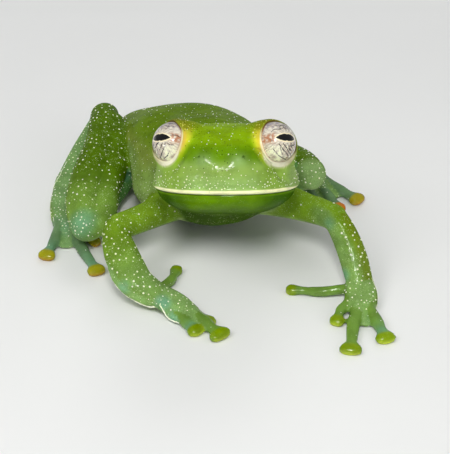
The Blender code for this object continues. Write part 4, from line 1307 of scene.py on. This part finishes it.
def eyeMaterial():
    material, tree, shader = newMaterial("silveryIris", {
        "Roughness": 0.3, "Specular IOR Level": 0.2, "Coat Weight": 1.0, "Coat Roughness": 0.07})
    place, flow = stored(tree, "irisPlace"), stored(tree, "irisFlow")
    x, y, bend = split(tree, place)
    pupilGap, lineGap, _ = split(tree, stored(tree, "irisMarks"))
    # silvery cream, streaked outwards from the pupil, duller and pinker towards the top
    flowX, flowY, flowFar = split(tree, flow)
    stretched = tree.nodes.new("ShaderNodeCombineXYZ")
    for socket, value in zip(stretched.inputs, (flowX, flowY, calc(tree, "MULTIPLY", flowFar, 0.55))):
        feed(tree, socket, value)
    streaks = ease(tree, noise(tree, stretched.outputs[0], 7.0, 4.0), 0.36, 0.64)
    colour = blend(tree, streaks, (0.50, 0.42, 0.33), (0.80, 0.76, 0.62))
    below = ease(tree, y, -0.2, -0.7)
    colour = blend(tree, calc(tree, "MULTIPLY", below, streaks), colour, (0.86, 0.86, 0.60))
    above = ease(tree, y, 0.3, 0.85)
    clouds = ease(tree, noise(tree, place, 4.5, 4.0), 0.4, 0.62)
    colour = blend(tree, calc(tree, "MULTIPLY", above, calc(tree, "MULTIPLY", clouds, 0.75)), colour,
                   (0.28, 0.23, 0.30))
    # pinkish brown band from the pupil to the nose, and brown clouds at the outer side
    band = calc(tree, "MULTIPLY", ease(tree, x, -0.28, -0.5), ease(tree, calc(tree, "ABSOLUTE", y), 0.36, 0.12))
    colour = blend(tree, calc(tree, "MULTIPLY", band, ease(tree, noise(tree, place, 6.0), 0.32, 0.6)), colour,
                   (0.48, 0.20, 0.09))
    outer = calc(tree, "MULTIPLY", ease(tree, x, 0.05, 0.5), ease(tree, y, 0.0, -0.25))
    colour = blend(tree, calc(tree, "MULTIPLY", outer, ease(tree, noise(tree, place, 5.0, 4.0), 0.46, 0.64)), colour,
                   (0.26, 0.14, 0.08))
    # fine dark net, then the drawn lines
    wobble = tree.nodes.new("ShaderNodeTexNoise")
    feed(tree, wobble.inputs["Vector"], place)
    feed(tree, wobble.inputs["Scale"], 5.0)
    bent = tree.nodes.new("ShaderNodeVectorMath")
    bent.operation = "MULTIPLY_ADD"
    for socket, value in zip(bent.inputs, (wobble.outputs["Color"], (0.35, 0.35, 0.35), stretched.outputs[0])):
        feed(tree, socket, value)
    net = ease(tree, cells(tree, bent.outputs[0], 4.6, "DISTANCE_TO_EDGE").outputs["Distance"], 0.07, 0.0)
    where = ease(tree, noise(tree, place, 3.2), 0.42, 0.6)
    colour = blend(tree, calc(tree, "MULTIPLY", calc(tree, "MULTIPLY", net, where), 0.75), colour, (0.09, 0.06, 0.06))
    broken = ease(tree, noise(tree, place, 11.0, 2.0), 0.34, 0.5)
    lineMask = calc(tree, "MULTIPLY", ease(tree, lineGap, 0.02, -0.006), calc(tree, "MAXIMUM", broken, 0.35))
    colour = blend(tree, lineMask, colour, (0.016, 0.012, 0.014))
    colour = blend(tree, ease(tree, bend, 1.15, 1.5), colour, (0.34, 0.24, 0.16))
    ringEdge = calc(tree, "ADD", pupilGap, calc(tree, "MULTIPLY", calc(tree, "SUBTRACT", streaks, 0.5), 0.02))
    colour = blend(tree, ease(tree, ringEdge, 0.075, 0.035), colour, (0.92, 0.80, 0.52))
    colour = blend(tree, ease(tree, pupilGap, 0.012, -0.008), colour, (0.0015, 0.0015, 0.0015))
    feed(tree, shader.inputs["Base Color"], colour)
    return material


irisPaint = eyeMaterial()
eyes = [buildEye(1, "eyeBallLeft"), buildEye(-1, "eyeBallRight")]

settle(skin, "skin", *skinNodes)
settle(dots, "skin")
settle(fringe, "skin")
settle(eyes[0], "iris", "eye_left")
settle(eyes[1], "iris", "eye_right")


studio = {
    # name, place in metres, width, watts, whether it lights the colours, whether the gloss shows it
    "lights": [("frontKey", (0.0, -0.129, 0.153), 0.05, 0.2, True, False),
               ("keySoft", (-0.2, -0.15, 0.3), 0.2, 0.5, True, False),
               ("fillSoft", (0.22, -0.16, 0.16), 0.2, 0.15, True, False),
               ("backSoft", (0.05, 0.25, 0.22), 0.16, 0.2, True, False),
               ("frontSpark", (0.0, -0.129, 0.153), 0.036, 0.4, False, True),
               ("sideSpark", (-0.136, -0.141, 0.038), 0.02, 0.06, False, True)],
    "sky": (0.92, 0.95, 1.0), "skyStrength": 0.25, "floorWidth": 0.6,
    "cameraPlace": (0.17, -127.33, 91.0), "cameraTilt": 34.2, "pixelsDeep": 2167.0, "pictureHeight": 454}


def paleFloor():
    bm = bmesh.new()
    bmesh.ops.create_grid(bm, x_segments=2, y_segments=2, size=studio["floorWidth"])
    floor = newPiece("floor", bm)
    material, tree, shader = newMaterial("paleFloor", {"Roughness": 0.65})
    feed(tree, shader.inputs["Base Color"],
         blend(tree, noise(tree, objectPlace(tree), 60.0), (0.78, 0.78, 0.76), (0.82, 0.82, 0.8)))
    floor.data.materials.append(material)


def areaLight(name, place, width, watts, lights, shines):
    light = bpy.data.lights.new(name, "AREA")
    light.shape = "DISK"
    light.size = width
    light.energy = watts
    lamp = bpy.data.objects.new(name, light)
    bpy.context.scene.collection.objects.link(lamp)
    lamp.location = place
    lamp.visible_diffuse = lights
    lamp.visible_glossy = shines
    lamp.rotation_euler = (Vector((0.0, 0.0, 0.005)) - lamp.location).to_track_quat("-Z", "Y").to_euler()


paleFloor()
for row in studio["lights"]:
    areaLight(*row)
world = bpy.data.worlds.new("studio")
world.use_nodes = True
background = world.node_tree.nodes["Background"].inputs
background["Color"].default_value = (*studio["sky"], 1.0)
background["Strength"].default_value = studio["skyStrength"]
bpy.context.scene.world = world
bpy.context.scene.view_settings.view_transform = "Standard"

cameraData = bpy.data.cameras.new("photoCamera")
cameraData.sensor_width = 36
cameraData.lens = studio["pixelsDeep"] * cameraData.sensor_width / studio["pictureHeight"]
cameraData.clip_start = 0.001
camera = bpy.data.objects.new("photoCamera", cameraData)
bpy.context.scene.collection.objects.link(camera)
camera.location = toFrame @ Vector(studio["cameraPlace"])
camera.rotation_euler = (math.radians(90 - studio["cameraTilt"]), 0.0, 0.0)
bpy.context.scene.camera = camera
